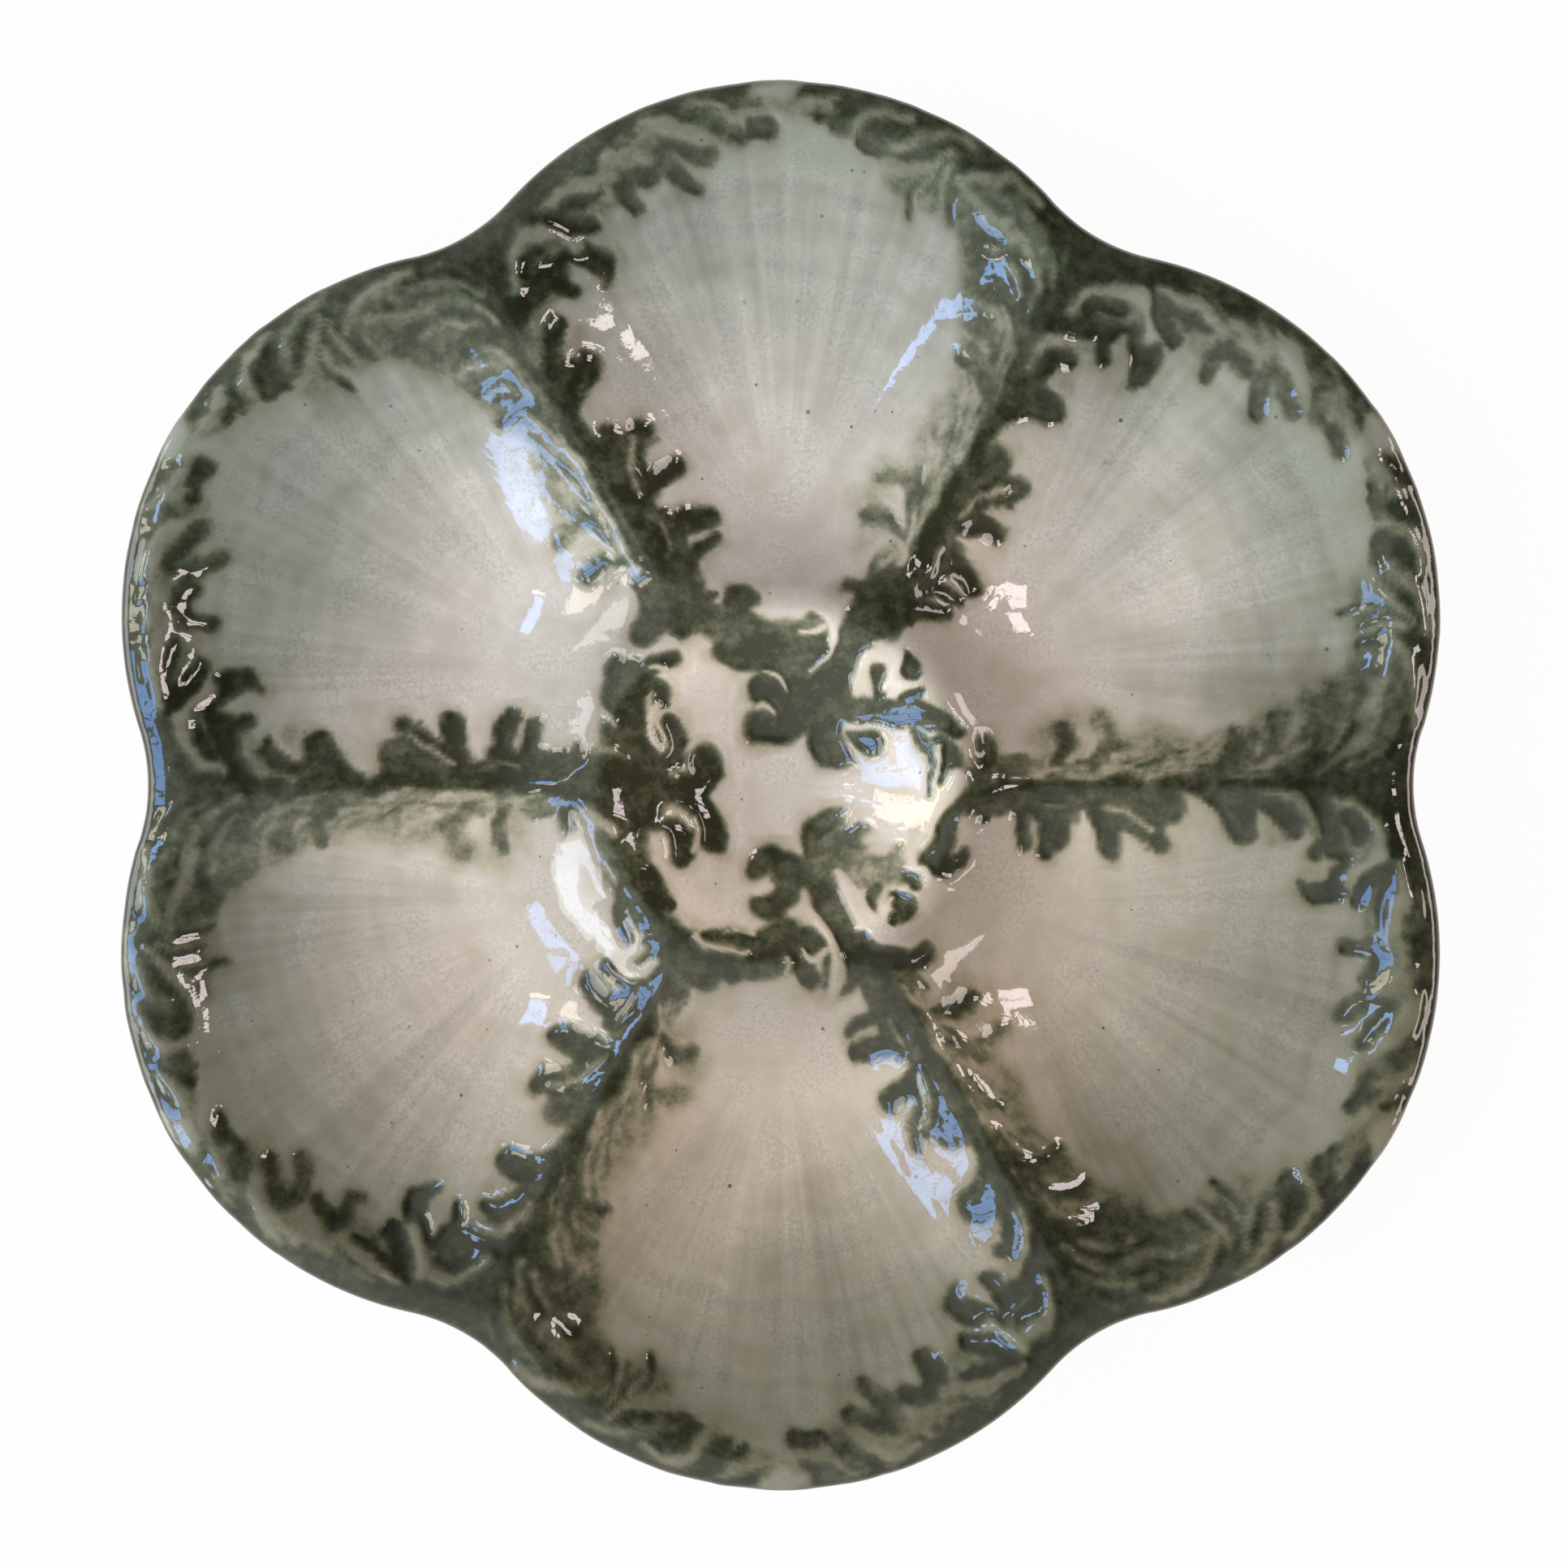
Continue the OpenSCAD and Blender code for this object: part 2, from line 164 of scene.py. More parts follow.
# Leaves and veins of one ridge
RIDGE_LEAVES = [
    (225, 0, 420, -7, 612, 0, 12, 14, 10, 0.96, 16),
    (592, 4, 690, 9, 795, 0, 14, 26, 54, 0.85, 22),
    (252, -20, 250, -34, 249, -45, 8, 8, 5, 0.85, 6),
    (262, -18, 300, -26, 345, -26, 10, 12, 10, 0.82, 10),
    (299, -22, 306, -50, 302, -78, 10, 11, 8, 0.92, 10),
    (332, -22, 346, -54, 329, -82, 15, 16, 13, 0.98, 11),
    (297, -36, 320, -42, 344, -36, 10, 12, 10, 0.88, 10),
    (314, -46, 319, -60, 316, -76, 2, 5, 4, 0.31, 9),
    (314, -25, 333, -28, 352, -27, 2, 5, 2, 0.55, 5),
    (396, -24, 402, -52, 404, -78, 12, 15, 14, 1, 11),
    (412, -26, 444, -42, 466, -72, 14, 18, 12, 0.9, 13),
    (430, -14, 462, -24, 484, -36, 10, 11, 7, 0.86, 10),
    (398, -26, 430, -30, 458, -58, 2, 5, 4, 0.33, 9),
    (424, -44, 440, -60, 446, -80, 2, 3, 2, 0.62, 5),
    (372, -38, 377, -62, 370, -104, 5, 11, 14, 0.03, 12),
    (532, -6, 566, -24, 568, -54, 14, 23, 19, 0.97, 12),
    (556, -10, 602, -18, 640, -32, 14, 17, 13, 0.84, 12),
    (610, -26, 630, -36, 630, -52, 10, 15, 10, 0.92, 11),
    (598, -36, 598, -48, 603, -66, 2, 6, 11, 0.25, 12),
    (540, -26, 556, -36, 560, -52, 2, 3, 2, 0.75, 5),
    (652, 2, 678, -40, 690, -92, 14, 16, 15, 0.97, 12),
    (690, -84, 702, -124, 662, -131, 15, 19, 14, 1, 12),
    (662, -131, 650, -134, 642, -120, 12, 9, 5, 0.85, 12),
    (678, -60, 668, -74, 655, -84, 12, 12, 11, 0.95, 12),
    (690, -92, 668, -96, 652, -108, 2, 10, 12, 0.14, 16),
    (598, -6, 648, -6, 662, -62, 4, 10, 6, 0.31, 12),
    (752, -40, 774, -80, 776, -124, 20, 20, 15, 0.93, 16),
    (686, -20, 748, -38, 738, -92, 5, 12, 12, 0.25, 14),
    (738, -90, 734, -112, 706, -114, 11, 16, 12, 0.14, 16),
    (698, -38, 714, -50, 714, -66, 9, 12, 9, 0.95, 8),
    (750, -102, 730, -116, 714, -142, 10, 15, 12, 0.94, 10),
    (760, -112, 748, -140, 752, -172, 9, 13, 11, 0.98, 9),
    (738, -128, 738, -142, 734, -154, 2, 3, 2, 0.62, 5),
    (764, -96, 773, -132, 756, -176, 4, 12, 6, 0.22, 12),
    (248, 8, 264, 28, 254, 52, 10, 13, 9, 0.78, 12),
    (262, 12, 286, 34, 302, 36, 9, 9, 4, 0.62, 9),
    (330, 18, 358, 42, 342, 72, 9, 13, 11, 0.8, 14),
    (370, 24, 424, 50, 390, 84, 8, 11, 10, 0.54, 18),
    (360, 26, 392, 32, 418, 46, 9, 11, 8, 0.7, 14),
    (438, 14, 480, 24, 466, 56, 6, 9, 7, 0.5, 16),
    (534, 12, 570, 30, 560, 72, 8, 10, 7, 0.78, 12),
    (558, 20, 604, 40, 606, 86, 6, 8, 6, 0.66, 11),
    (638, 24, 670, 42, 662, 64, 10, 13, 12, 0.74, 13),
    (640, 16, 708, 42, 717, 126, 9, 13, 11, 0.85, 12),
    (690, 14, 756, 40, 748, 132, 8, 12, 10, 0.9, 12),
    (770, 30, 786, 90, 784, 160, 18, 15, 13, 0.96, 16),
    (300, 22, 340, 16, 372, 26, 2, 5, 4, 0.31, 10),
    (288, 8, 342, 6, 322, 64, 2, 5, 5, 0.27, 10),
    (350, 32, 382, 50, 370, 92, 4, 8, 5, 0.2, 11),
    (352, 13, 402, 8, 448, 28, 4, 5, 4, 0.34, 10),
    (386, 20, 430, 16, 472, 44, 2, 5, 2, 0.33, 10),
    (408, 34, 440, 34, 470, 66, 2, 5, 4, 0.27, 12),
    (456, 9, 506, 12, 538, 38, 4, 5, 4, 0.33, 10),
    (470, 18, 522, 20, 552, 50, 2, 5, 2, 0.3, 10),
    (482, 30, 520, 34, 546, 60, 2, 6, 4, 0.27, 12),
    (556, 10, 606, 12, 636, 40, 3, 4, 3, 0.5, 6),
    (580, 26, 622, 28, 648, 56, 2, 6, 4, 0.31, 11),
    (584, 44, 600, 56, 594, 84, 2, 6, 4, 0.28, 12),
    (618, 48, 640, 60, 634, 92, 4, 9, 6, 0.28, 14),
    (664, 18, 748, 38, 731, 126, 4, 10, 8, 0.42, 12),
    (676, 40, 704, 66, 702, 108, 4, 8, 5, 0.38, 13),
    (704, 16, 772, 54, 764, 146, 4, 9, 6, 0.45, 13),
    (724, 14, 768, 22, 774, 60, 2, 5, 3, 0.7, 9),
    (420, 24, 460, 22, 500, 40, 1, 3, 1, 0.72, 5),
    (500, 18, 540, 22, 566, 42, 1, 3, 1, 0.72, 5),
    (598, 18, 640, 24, 664, 44, 1, 3, 1, 0.76, 5),
]
# Leaves of the rim round one lobe
LOBE_LEAVES = [
    (742, 196, 724, 192, 706, 176, 8, 12, 10, 0.75, 12),
    (740, 196, 752, 178, 751, 156, 10, 14, 13, 0.82, 11),
    (780, 144, 752, 134, 737, 104, 9, 12, 12, 0.66, 12),
    (788, 142, 786, 112, 776, 86, 8, 12, 12, 0.7, 12),
    (830, 110, 826, 86, 808, 70, 8, 12, 11, 0.6, 12),
    (806, 54, 816, 36, 806, 14, 10, 14, 11, 0.82, 11),
    (848, 68, 852, 48, 840, 28, 8, 10, 7, 0.72, 10),
    (838, -84, 826, -66, 818, -50, 13, 13, 10, 0.78, 10),
    (818, -72, 808, -72, 802, -62, 10, 8, 5, 0.7, 9),
    (858, -22, 854, -40, 848, -62, 8, 14, 14, 0.9, 10),
    (784, -102, 808, -112, 810, -150, 10, 16, 12, 0.83, 11),
    (788, -112, 774, -120, 764, -138, 10, 12, 8, 0.76, 11),
    (776, -150, 788, -184, 780, -226, 6, 10, 8, 0.77, 9),
    (700, -158, 742, -158, 768, -212, 4, 11, 11, 0.76, 11),
    (712, -186, 736, -184, 756, -204, 3, 7, 6, 0.64, 9),
    (696, -206, 736, -202, 776, -240, 4, 9, 14, 0.77, 11),
    (656, -242, 706, -240, 732, -266, 5, 11, 12, 0.62, 14),
    (648, -282, 690, -272, 716, -294, 5, 11, 10, 0.6, 14),
    (764, 222, 788, 190, 767, 154, 5, 12, 5, 0.28, 12),
    (796, 196, 800, 172, 784, 152, 2, 6, 2, 0.31, 10),
    (742, 282, 766, 250, 762, 220, 2, 4, 3, 0.55, 7),
    (718, 284, 748, 256, 747, 204, 5, 11, 6, 0.25, 13),
    (812, 170, 826, 134, 798, 94, 5, 15, 8, 0.2, 13),
    (842, 116, 856, 72, 814, 48, 2, 8, 5, 0.3, 11),
    (834, 104, 840, 88, 826, 74, 2, 5, 3, 0.5, 6),
    (828, 58, 832, 40, 826, 20, 2, 6, 5, 0.27, 11),
    (842, 20, 826, -20, 844, -72, 4, 9, 5, 0.25, 11),
    (828, -24, 822, -44, 834, -66, 2, 6, 4, 0.28, 11),
    (796, -90, 846, -102, 822, -168, 5, 10, 5, 0.21, 12),
    (790, -82, 756, -106, 754, -150, 5, 8, 5, 0.13, 12),
    (766, -128, 752, -166, 778, -212, 4, 8, 5, 0.25, 12),
    (782, -146, 818, -176, 788, -238, 5, 11, 5, 0.31, 12),
    (716, -168, 738, -166, 752, -184, 2, 6, 4, 0.25, 11),
    (722, -196, 744, -194, 764, -216, 2, 5, 4, 0.3, 11),
    (742, -214, 766, -262, 712, -324, 5, 12, 6, 0.28, 13),
    (736, -226, 712, -262, 664, -290, 4, 9, 6, 0.3, 16),
    (700, -300, 680, -316, 650, -326, 3, 6, 4, 0.5, 10),
    (856, 26, 856, 2, 864, -24, 9, 14, 8, 0.04, 22),
]
# Curls of the centre well, in place, +y up
CENTRE_LEAVES = [
    # Clay between the knots
    (-190, -110, -205, 0, -190, 130, 24, 32, 26, 0.86, 18),
    (-150, 232, -60, 176, 60, 176, 26, 20, 24, 0.82, 18),
    (110, 200, 160, 212, 196, 208, 20, 17, 11, 0.95, 12),
    (-160, -232, -60, -216, 20, -206, 20, 26, 26, 0.84, 18),
    (110, -205, 140, -212, 176, -206, 20, 20, 14, 0.95, 14),
    # Left knot
    (-262, -6, -200, -4, -120, -4, 16, 22, 12, 0.92, 12),
    (-172, 60, -160, 20, -166, -40, 18, 26, 18, 0.92, 12),
    (-122, 6, -84, -4, -93, 32, 14, 20, 23, 1.0, 12),
    (-140, 28, -118, 46, -134, 74, 10, 14, 12, 0.97, 9),
    (-128, -14, -84, -20, -89, -56, 12, 20, 25, 1.0, 12),
    (-142, -44, -124, -54, -125, -86, 8, 14, 17, 0.97, 10),
    (-206, 100, -208, 130, -202, 154, 14, 13, 8, 0.95, 9),
    (-186, 110, -184, 140, -178, 150, 16, 12, 6, 0.9, 9),
    (-170, 130, -160, 152, -130, 158, 12, 12, 9, 0.95, 9),
    (-176, 118, -138, 136, -146, 106, 10, 10, 12, 0.95, 9),
    (-170, -110, -158, -138, -138, -152, 14, 13, 6, 0.95, 9),
    (-188, -124, -178, -152, -140, -182, 18, 20, 18, 0.88, 12),
    (-196, -150, -188, -172, -182, -190, 8, 9, 5, 0.92, 8),
    (-160, -236, -150, -250, -128, -256, 14, 16, 12, 0.9, 12),
    (-150, 100, -176, 66, -150, 40, 4, 6, 3, 0.06, 6),
    (-112, 62, -122, 44, -108, 24, 2, 4, 2, 0.5, 6),
    (-112, -36, -104, -58, -110, -80, 3, 5, 3, 0.15, 6),
    (-232, 34, -214, 42, -196, 30, 3, 6, 3, 0.5, 8),
    (-238, -44, -220, -40, -206, -58, 6, 9, 5, 0.2, 10),
    (-226, 92, -216, 84, -208, 70, 3, 5, 3, 0.23, 8),
    (-212, -98, -206, -110, -200, -122, 3, 5, 3, 0.2, 8),
    (-158, 146, -142, 152, -134, 130, 2, 4, 3, 0.15, 5),
    (-154, 174, -144, 186, -130, 176, 8, 9, 6, 0.06, 7),
    (-192, 184, -180, 210, -184, 236, 5, 7, 5, 0.15, 9),
    (-192, -222, -172, -232, -156, -222, 10, 12, 7, 0.12, 10),
    # Upper right knot
    (-70, 165, -20, 152, 40, 140, 14, 22, 20, 0.92, 12),
    (132, 236, 96, 196, 66, 116, 27, 24, 20, 0.9, 14),
    (66, 116, 40, 98, 0, 104, 26, 22, 22, 0.94, 14),
    (20, 104, -8, 134, -22, 112, 20, 20, 20, 1.0, 12),
    (30, 96, 14, 62, -16, 74, 20, 22, 25, 1.0, 13),
    (60, 100, 42, 62, 58, 42, 22, 18, 20, 0.96, 12),
    (58, 42, 66, 28, 76, 34, 18, 14, 9, 0.96, 11),
    (84, 64, 98, 62, 110, 52, 9, 15, 12, 0.95, 9),
    (78, 96, 110, 88, 150, 88, 18, 18, 16, 0.88, 12),
    (120, 146, 124, 130, 120, 112, 8, 12, 9, 0.97, 7),
    (146, 158, 158, 146, 162, 138, 6, 14, 11, 1.0, 7),
    (152, 106, 164, 104, 172, 112, 5, 9, 6, 0.96, 6),
    (132, 90, 186, 90, 222, 66, 14, 17, 8, 0.97, 9),
    (196, 56, 226, 40, 204, 12, 8, 17, 12, 1.0, 9),
    (168, 66, 180, 56, 188, 46, 8, 9, 6, 0.8, 8),
    (184, 54, 190, 24, 182, -6, 3, 5, 3, 0.9, 5),
    (-50, 206, -66, 226, -44, 232, 18, 18, 16, 0.86, 12),
    (-120, 208, -96, 200, -84, 212, 16, 18, 12, 0.84, 12),
    (-72, 164, -44, 172, 2, 176, 8, 12, 12, 0.96, 9),
    (-158, 246, -150, 214, -168, 184, 20, 22, 14, 0.88, 12),
    (38, 182, 56, 168, 40, 152, 10, 15, 10, 0.92, 8),
    (28, 198, 44, 214, 58, 204, 7, 10, 6, 0.72, 8),
    (28, 222, 76, 224, 62, 176, 5, 8, 5, 0.07, 8),
    (26, 190, 42, 188, 54, 200, 3, 5, 3, 0.16, 6),
    (60, 180, 68, 160, 34, 140, 2, 4, 3, 0.15, 5),
    (-24, 137, 0, 132, 8, 114, 2, 4, 2, 0.2, 5),
    (-30, 92, -18, 98, -8, 88, 4, 6, 3, 0.21, 8),
    (82, 72, 108, 80, 134, 62, 3, 5, 4, 0.15, 6),
    (94, 116, 96, 166, 142, 158, 7, 9, 7, 0.05, 8),
    (142, 160, 148, 142, 128, 120, 6, 8, 4, 0.05, 6),
    (148, 116, 158, 126, 174, 122, 3, 5, 4, 0.1, 6),
    (196, 48, 198, 24, 188, 2, 3, 5, 3, 0.15, 5),
    (162, 62, 168, 34, 182, 24, 4, 6, 4, 0.17, 7),
    # Lower right knot
    (72, -236, 78, -180, 58, -124, 22, 22, 24, 0.84, 14),
    (60, -120, 40, -104, 12, -112, 22, 20, 18, 0.88, 14),
    (18, -108, 0, -76, -28, -102, 16, 18, 15, 0.94, 13),
    (12, -126, -2, -160, -28, -149, 14, 15, 15, 0.9, 12),
    (46, -104, 34, -60, 62, -42, 12, 12, 15, 0.84, 12),
    (64, -100, 70, -72, 94, -66, 24, 20, 17, 0.74, 14),
    (84, -108, 120, -110, 160, -96, 20, 22, 18, 0.52, 20),
    (108, -70, 126, -72, 140, -84, 10, 16, 12, 0.15, 20),
    (144, -72, 140, -88, 128, -98, 5, 8, 8, 0.55, 10),
    (176, -98, 206, -102, 228, -82, 11, 13, 8, 1.0, 8),
    (212, -30, 206, -62, 182, -94, 14, 17, 13, 1.0, 9),
    (154, -112, 164, -112, 164, -124, 6, 9, 6, 0.96, 6),
    (118, -126, 110, -142, 116, -158, 7, 9, 6, 0.8, 8),
    (142, -140, 166, -146, 140, -170, 10, 16, 8, 0.98, 8),
    (8, -180, -24, -206, -62, -230, 20, 26, 20, 0.9, 12),
    (-30, -196, -60, -178, -94, -190, 8, 10, 6, 0.9, 8),
    (34, -182, 50, -190, 48, -208, 8, 11, 7, 0.86, 7),
    (30, -222, 22, -234, 36, -236, 14, 16, 13, 0.92, 9),
    (86, -200, 110, -206, 130, -214, 20, 20, 16, 0.97, 12),
    (-36, -128, -20, -132, -8, -124, 5, 8, 4, 0.07, 8),
    (26, -152, 52, -168, 64, -204, 4, 8, 7, 0.07, 7),
    (64, -204, 76, -228, 62, -252, 7, 9, 9, 0.1, 8),
    (26, -204, 34, -222, 54, -210, 3, 6, 5, 0.1, 6),
    (74, -114, 92, -152, 128, -186, 5, 12, 13, 0.07, 9),
    (128, -186, 150, -196, 176, -176, 11, 12, 10, 0.04, 9),
    (132, -168, 126, -156, 136, -140, 3, 5, 3, 0.07, 6),
    (168, -40, 152, -68, 160, -98, 6, 9, 6, 0.15, 8),
    (164, -100, 172, -98, 180, -112, 3, 6, 6, 0.05, 7),
    (-104, -188, -76, -214, -40, -204, 3, 5, 3, 0.07, 6),
    (-74, -182, -56, -176, -34, -184, 2, 3, 2, 0.15, 6),
    (4, -216, 8, -226, 2, -232, 4, 5, 3, 0.2, 7),
    (188, -26, 208, -12, 222, 6, 12, 16, 12, 0.05, 12),
]

# Rays of the shell in a well, fanning from its hinge: direction and width in degrees, and strength
SHELL_RAYS = [
    (30, 4.5, -0.2), (21, 4, 0.6), (12, 3, -0.45), (7, 2.2, 0.9), (2, 1.6, 0.5), (-4, 2, 0.7),
    (-11, 3, 0.8), (-20, 4, -0.2), (-27, 3.5, -0.1), (-34, 4, -1),
]
# Growth lines across the shell: distance from the hinge in drawing steps, and strength
SHELL_LINES = [
    (262, 0.2), (300, -0.3), (334, 0.3), (352, -0.55), (386, 0.3), (404, -0.35), (428, 0.35), (445, -0.7),
    (458, 0.4),
]
# Width of a growth line in drawing steps
LINE_WIDTH = 6

# Tone of the pale glaze by distance from the middle, in eighths of a metre. The lift to 1 on the hinge
# slopes, 0.28 to 0.3, is painted light and sheen.
PALE_TONES_AND_PAINTED_LIGHT = [
    (0.0, 1.0), (0.12, 0.8), (0.25, 0.91), (0.28, 1.0), (0.3, 1.0), (0.34, 0.53), (0.47, 0.85), (0.9, 0.93),
    (0.96, 1.0),
]
# Share of light that comes back through the glaze by its level, up to the deep colour in the settings
GLAZE_TINTS = [(0.0, (1.0, 1.0, 1.0, 1)), (0.22, (0.7, 0.68, 0.58, 1)), (0.48, (0.31, 0.335, 0.245, 1)),
               (0.74, (0.12, 0.142, 0.088, 1))]
GLAZE_IOR = 1.6

# Windows and bright walls of the room: name, azimuths and elevations in degrees, panes, colour, radiance
WINDOWS = [
    ("window_left", (200, 216), (36, 45), (3, 1), (0.26, 0.48, 1.0), 7.5),
    ("window_far", (178, 198), (33, 47), (2, 1), (0.2, 0.45, 1.0), 6.5),
    ("curtain_left", (163, 176), (32, 42), (1, 1), (1.0, 0.92, 0.75), 5.5),
    ("window_high", (158, 171), (50, 56), (2, 1), (0.28, 0.5, 1.0), 10.0),
    ("curtain_high", (172, 175), (49, 57), (1, 1), (1.0, 0.92, 0.75), 8.0),
    ("window_low", (205, 213), (15, 22), (1, 1), (0.6, 0.75, 1.0), 4.0),
    ("sill_left", (150, 215), (8, 28), (1, 1), (0.92, 0.96, 1.0), 3.4),
    ("window_right", (1, 13), (45, 55), (2, 1), (1.0, 0.85, 0.86), 10.0),
    ("lamp_right", (15, 23), (42, 50), (1, 1), (1.0, 0.85, 0.86), 10.0),
    ("wall_right", (-28, 28), (22, 30), (1, 1), (1.0, 0.86, 0.84), 5.5),
]
# Radius of the dome on which they lie, and share of a pane that its bars leave free
DOME_R = 1.6
PANE_SHARE = 0.92
# Floor: half its side, and faces along a side
FLOOR_HALF = 1.5
FLOOR_FACES = 48
# The photograph: its side, and the plate's centre and lobe tip in it, in pixels
PHOTO_SIDE = 1932
PHOTO_CENTRE = (962, 967.5)
PHOTO_TIP = 869
SENSOR_MM = 36


# Numbers and curves

def ease(t):
    """Smooth step: 3t^2 - 2t^3 between 0 and 1."""
    c = np.clip(t, 0, 1)
    return c * c * (3 - 2 * c)


def soft_min(a, b, w):
    """Lesser of two lengths, less (w - |a - b|)^2 / 4w where they differ by under w."""
    return np.minimum(a, b) - np.maximum(w - np.abs(a - b), 0) ** 2 / (4 * w)


def bowl(t):
    """Share of a well's depth: (1 - (1 - t)^2)^1.5, a rounded crest and a hollow floor."""
    c = np.clip(t, 0, 1)
    return (1 - (1 - c) ** 2) ** 1.5


def from_ridge(a):
    """Turn from the nearest ridge: the direction less the nearest multiple of a well's turn."""
    return a - 2 * HALF_TURN * np.round(a / (2 * HALF_TURN))


def from_lobe(a):
    """Turn from the nearest lobe tip."""
    return from_ridge(a - HALF_TURN)


def half_chord(radius, offset):
    """Half chord of a circle at an offset from its centre: the root of radius^2 - offset^2."""
    return np.sqrt(np.maximum(radius ** 2 - offset ** 2, 0))


def edge_radius(a):
    """Outline: an arc about each lobe's centre, and a hollow arc about each notch's centre."""
    ridge_turn = np.abs(from_ridge(a))
    lobe_turn = HALF_TURN - ridge_turn
    lobe = LOBE_C * np.cos(lobe_turn) + half_chord(LOBE_R, LOBE_C * np.sin(lobe_turn))
    notch = NOTCH_C * np.cos(ridge_turn) - half_chord(NOTCH_R, NOTCH_C * np.sin(ridge_turn))
    return np.where(lobe_turn < JOIN_TURN, lobe, notch)


def crest_height(r, a):
    """Height of a crest at a radius: eased from the ring down to the dip and up to the rim."""
    out = edge_radius(a) - RIM_W
    inner = RING_Z + (DIP_Z - RING_Z) * ease((r - RING_R) / (RIDGE_LOW_R - RING_R))
    outer = DIP_Z + (CREST_Z - DIP_Z) * ease((r - RIDGE_LOW_R) / (out - RIDGE_LOW_R))
    return np.where(r < RIDGE_LOW_R, inner, outer)


def floor_height(r, a):
    """Height of a well's floor, which curves up towards the rim with a power of the way there."""
    way = np.clip((r - RISE_R) / (edge_radius(a) - RIM_W - RISE_R), 0, 1)
    return FLOOR_Z + FLOOR_RISE * way ** RISE_POWER


def well_share(r, a):
    """Bowl share of the least of the gaps to the ridge, the rim crest and the ring, each by its slope."""
    side = r * np.sin(np.abs(from_ridge(a))) / SIDE_W
    out = (edge_radius(a) - RIM_W - r) / OUTER_W
    return bowl(soft_min(soft_min(side, out, BLEND_SHARE), (r - RING_R) / HINGE_W, BLEND_SHARE))


def centre_share(r):
    """Bowl share of the centre well at a radius."""
    return bowl((RING_R - r) / (RING_R - CENTRE_FLOOR_R))


def plain_height(r, a):
    """Top without ornament: crest less the depth's share, and a square roll-off past the rim crest."""
    crest = crest_height(r, a)
    past = np.maximum(r - edge_radius(a) + RIM_W, 0) / RIM_W
    outer = crest - (crest - floor_height(r, a)) * well_share(r, a) - RIM_DROP * past ** 2
    inner = RING_Z - (RING_Z - FLOOR_Z - CENTRE_LIFT) * centre_share(r)
    return np.where(r > RING_R, outer, inner)


def under_height(r, a):
    """Underside: the plain top less the wall, thicker behind ridges and thinner at the lip."""
    depth = np.where(r > RING_R, well_share(r, a), centre_share(r))
    inside = ease((edge_radius(a) - LIP / 2 - r) / SIDE_W)
    return plain_height(r, a) - (LIP + (WALL - LIP + RIDGE_FILL * (1 - depth)) * inside)


def wander(x, y, seed, size, reach):
    """Slow sideways shift of a drawing: a sum of four seeded sine waves of about the given size."""
    rng = np.random.default_rng(seed)
    total = np.zeros_like(x)
    for _ in range(4):
        turn, phase = rng.uniform(0, 2 * np.pi, 2)
        wave = size * rng.uniform(0.7, 1.4)
        total += np.sin(2 * np.pi * (x * np.cos(turn) + y * np.sin(turn)) / wave + phase)
    return reach * total / 2


def paint(x, y, strokes, level, blur):
    """Strokes laid in turn over a level of glaze at points.

    A stroke is the quadratic curve (1-t)^2 a + 2t(1-t) b + t^2 c with its half width carried the same
    way. The level moves to the stroke's by a mask that eases from 1 to 0 across its soft edge, and a
    thin spread of glaze eases away over a wider reach.
    """
    t = np.linspace(0, 1, CURVE_POINTS)
    share = np.stack([(1 - t) ** 2, 2 * t * (1 - t), t ** 2], axis=1)
    for row in strokes:
        px, py, width = (share @ np.array(values, float) * STEP
                         for values in (row[0:6:2], row[1:6:2], row[6:9]))
        soft = SOFTEN * row[10] * STEP + blur
        pad = width.max() + soft
        near = (x > px.min() - pad) & (x < px.max() + pad) & (y > py.min() - pad) & (y < py.max() + pad)
        if not near.any():
            continue
        dx, dy = np.diff(px), np.diff(py)
        rx, ry = x[near][:, None] - px[:-1], y[near][:, None] - py[:-1]
        along = np.clip((rx * dx + ry * dy) / (dx ** 2 + dy ** 2), 0, 1)
        gap = np.hypot(rx - along * dx, ry - along * dy)
        inside = (width[:-1] + along * np.diff(width) - gap).max(axis=1)
        level[near] = np.maximum(level[near], SPREAD * row[9] * ease(1 + inside / (SPREAD_REACH * soft)))
        level[near] += (row[9] - level[near]) * ease(0.5 + inside / soft)


def glaze_level(r, a, blur=0.0):
    """Level of glaze at points of the top: washes, the band along the rim, then the leaves.

    The strokes are drawn as the camera sees them at the height of the edge, so a point is first moved
    by (view - edge) / (view - height), which draws in a lower one.
    """
    seen = r * (VIEW_Z - EDGE_Z) / (VIEW_Z - plain_height(r, a))
    x, y = seen * np.cos(a), seen * np.sin(a)
    for size, reach in DRIFTS:
        x, y = x + wander(x, y, 3, size, reach), y + wander(x, y, 4, size, reach)
    r, a = np.hypot(x, y), np.arctan2(y, x)
    b, c = from_ridge(a), from_lobe(a)
    ridge_at = r * np.cos(b), r * np.sin(b)
    lobe_at = r * np.cos(c), r * np.sin(c)
    level = np.zeros_like(r)
    paint(*lobe_at, LOBE_WASH, level, blur)
    paint(*ridge_at, RIDGE_WASH, level, blur)
    turn = np.abs(c) / HALF_TURN
    width = STEP * (34 * ease((turn + 0.06) / 0.3) - 4 + 46 * ease((turn - 0.35) / 0.65))
    gap = edge_radius(a) - r
    band = ease(0.5 + (width + wander(x, y, 5, 14 * MM, 0.5 * MM) - gap) / (BAND_SOFT + blur))
    level += (BAND_LEVEL - level) * band
    paint(*ridge_at, RIDGE_LEAVES, level, blur)
    paint(*lobe_at, LOBE_LEAVES, level, blur)
    paint(x, y, CENTRE_LEAVES, level, blur)
    return level


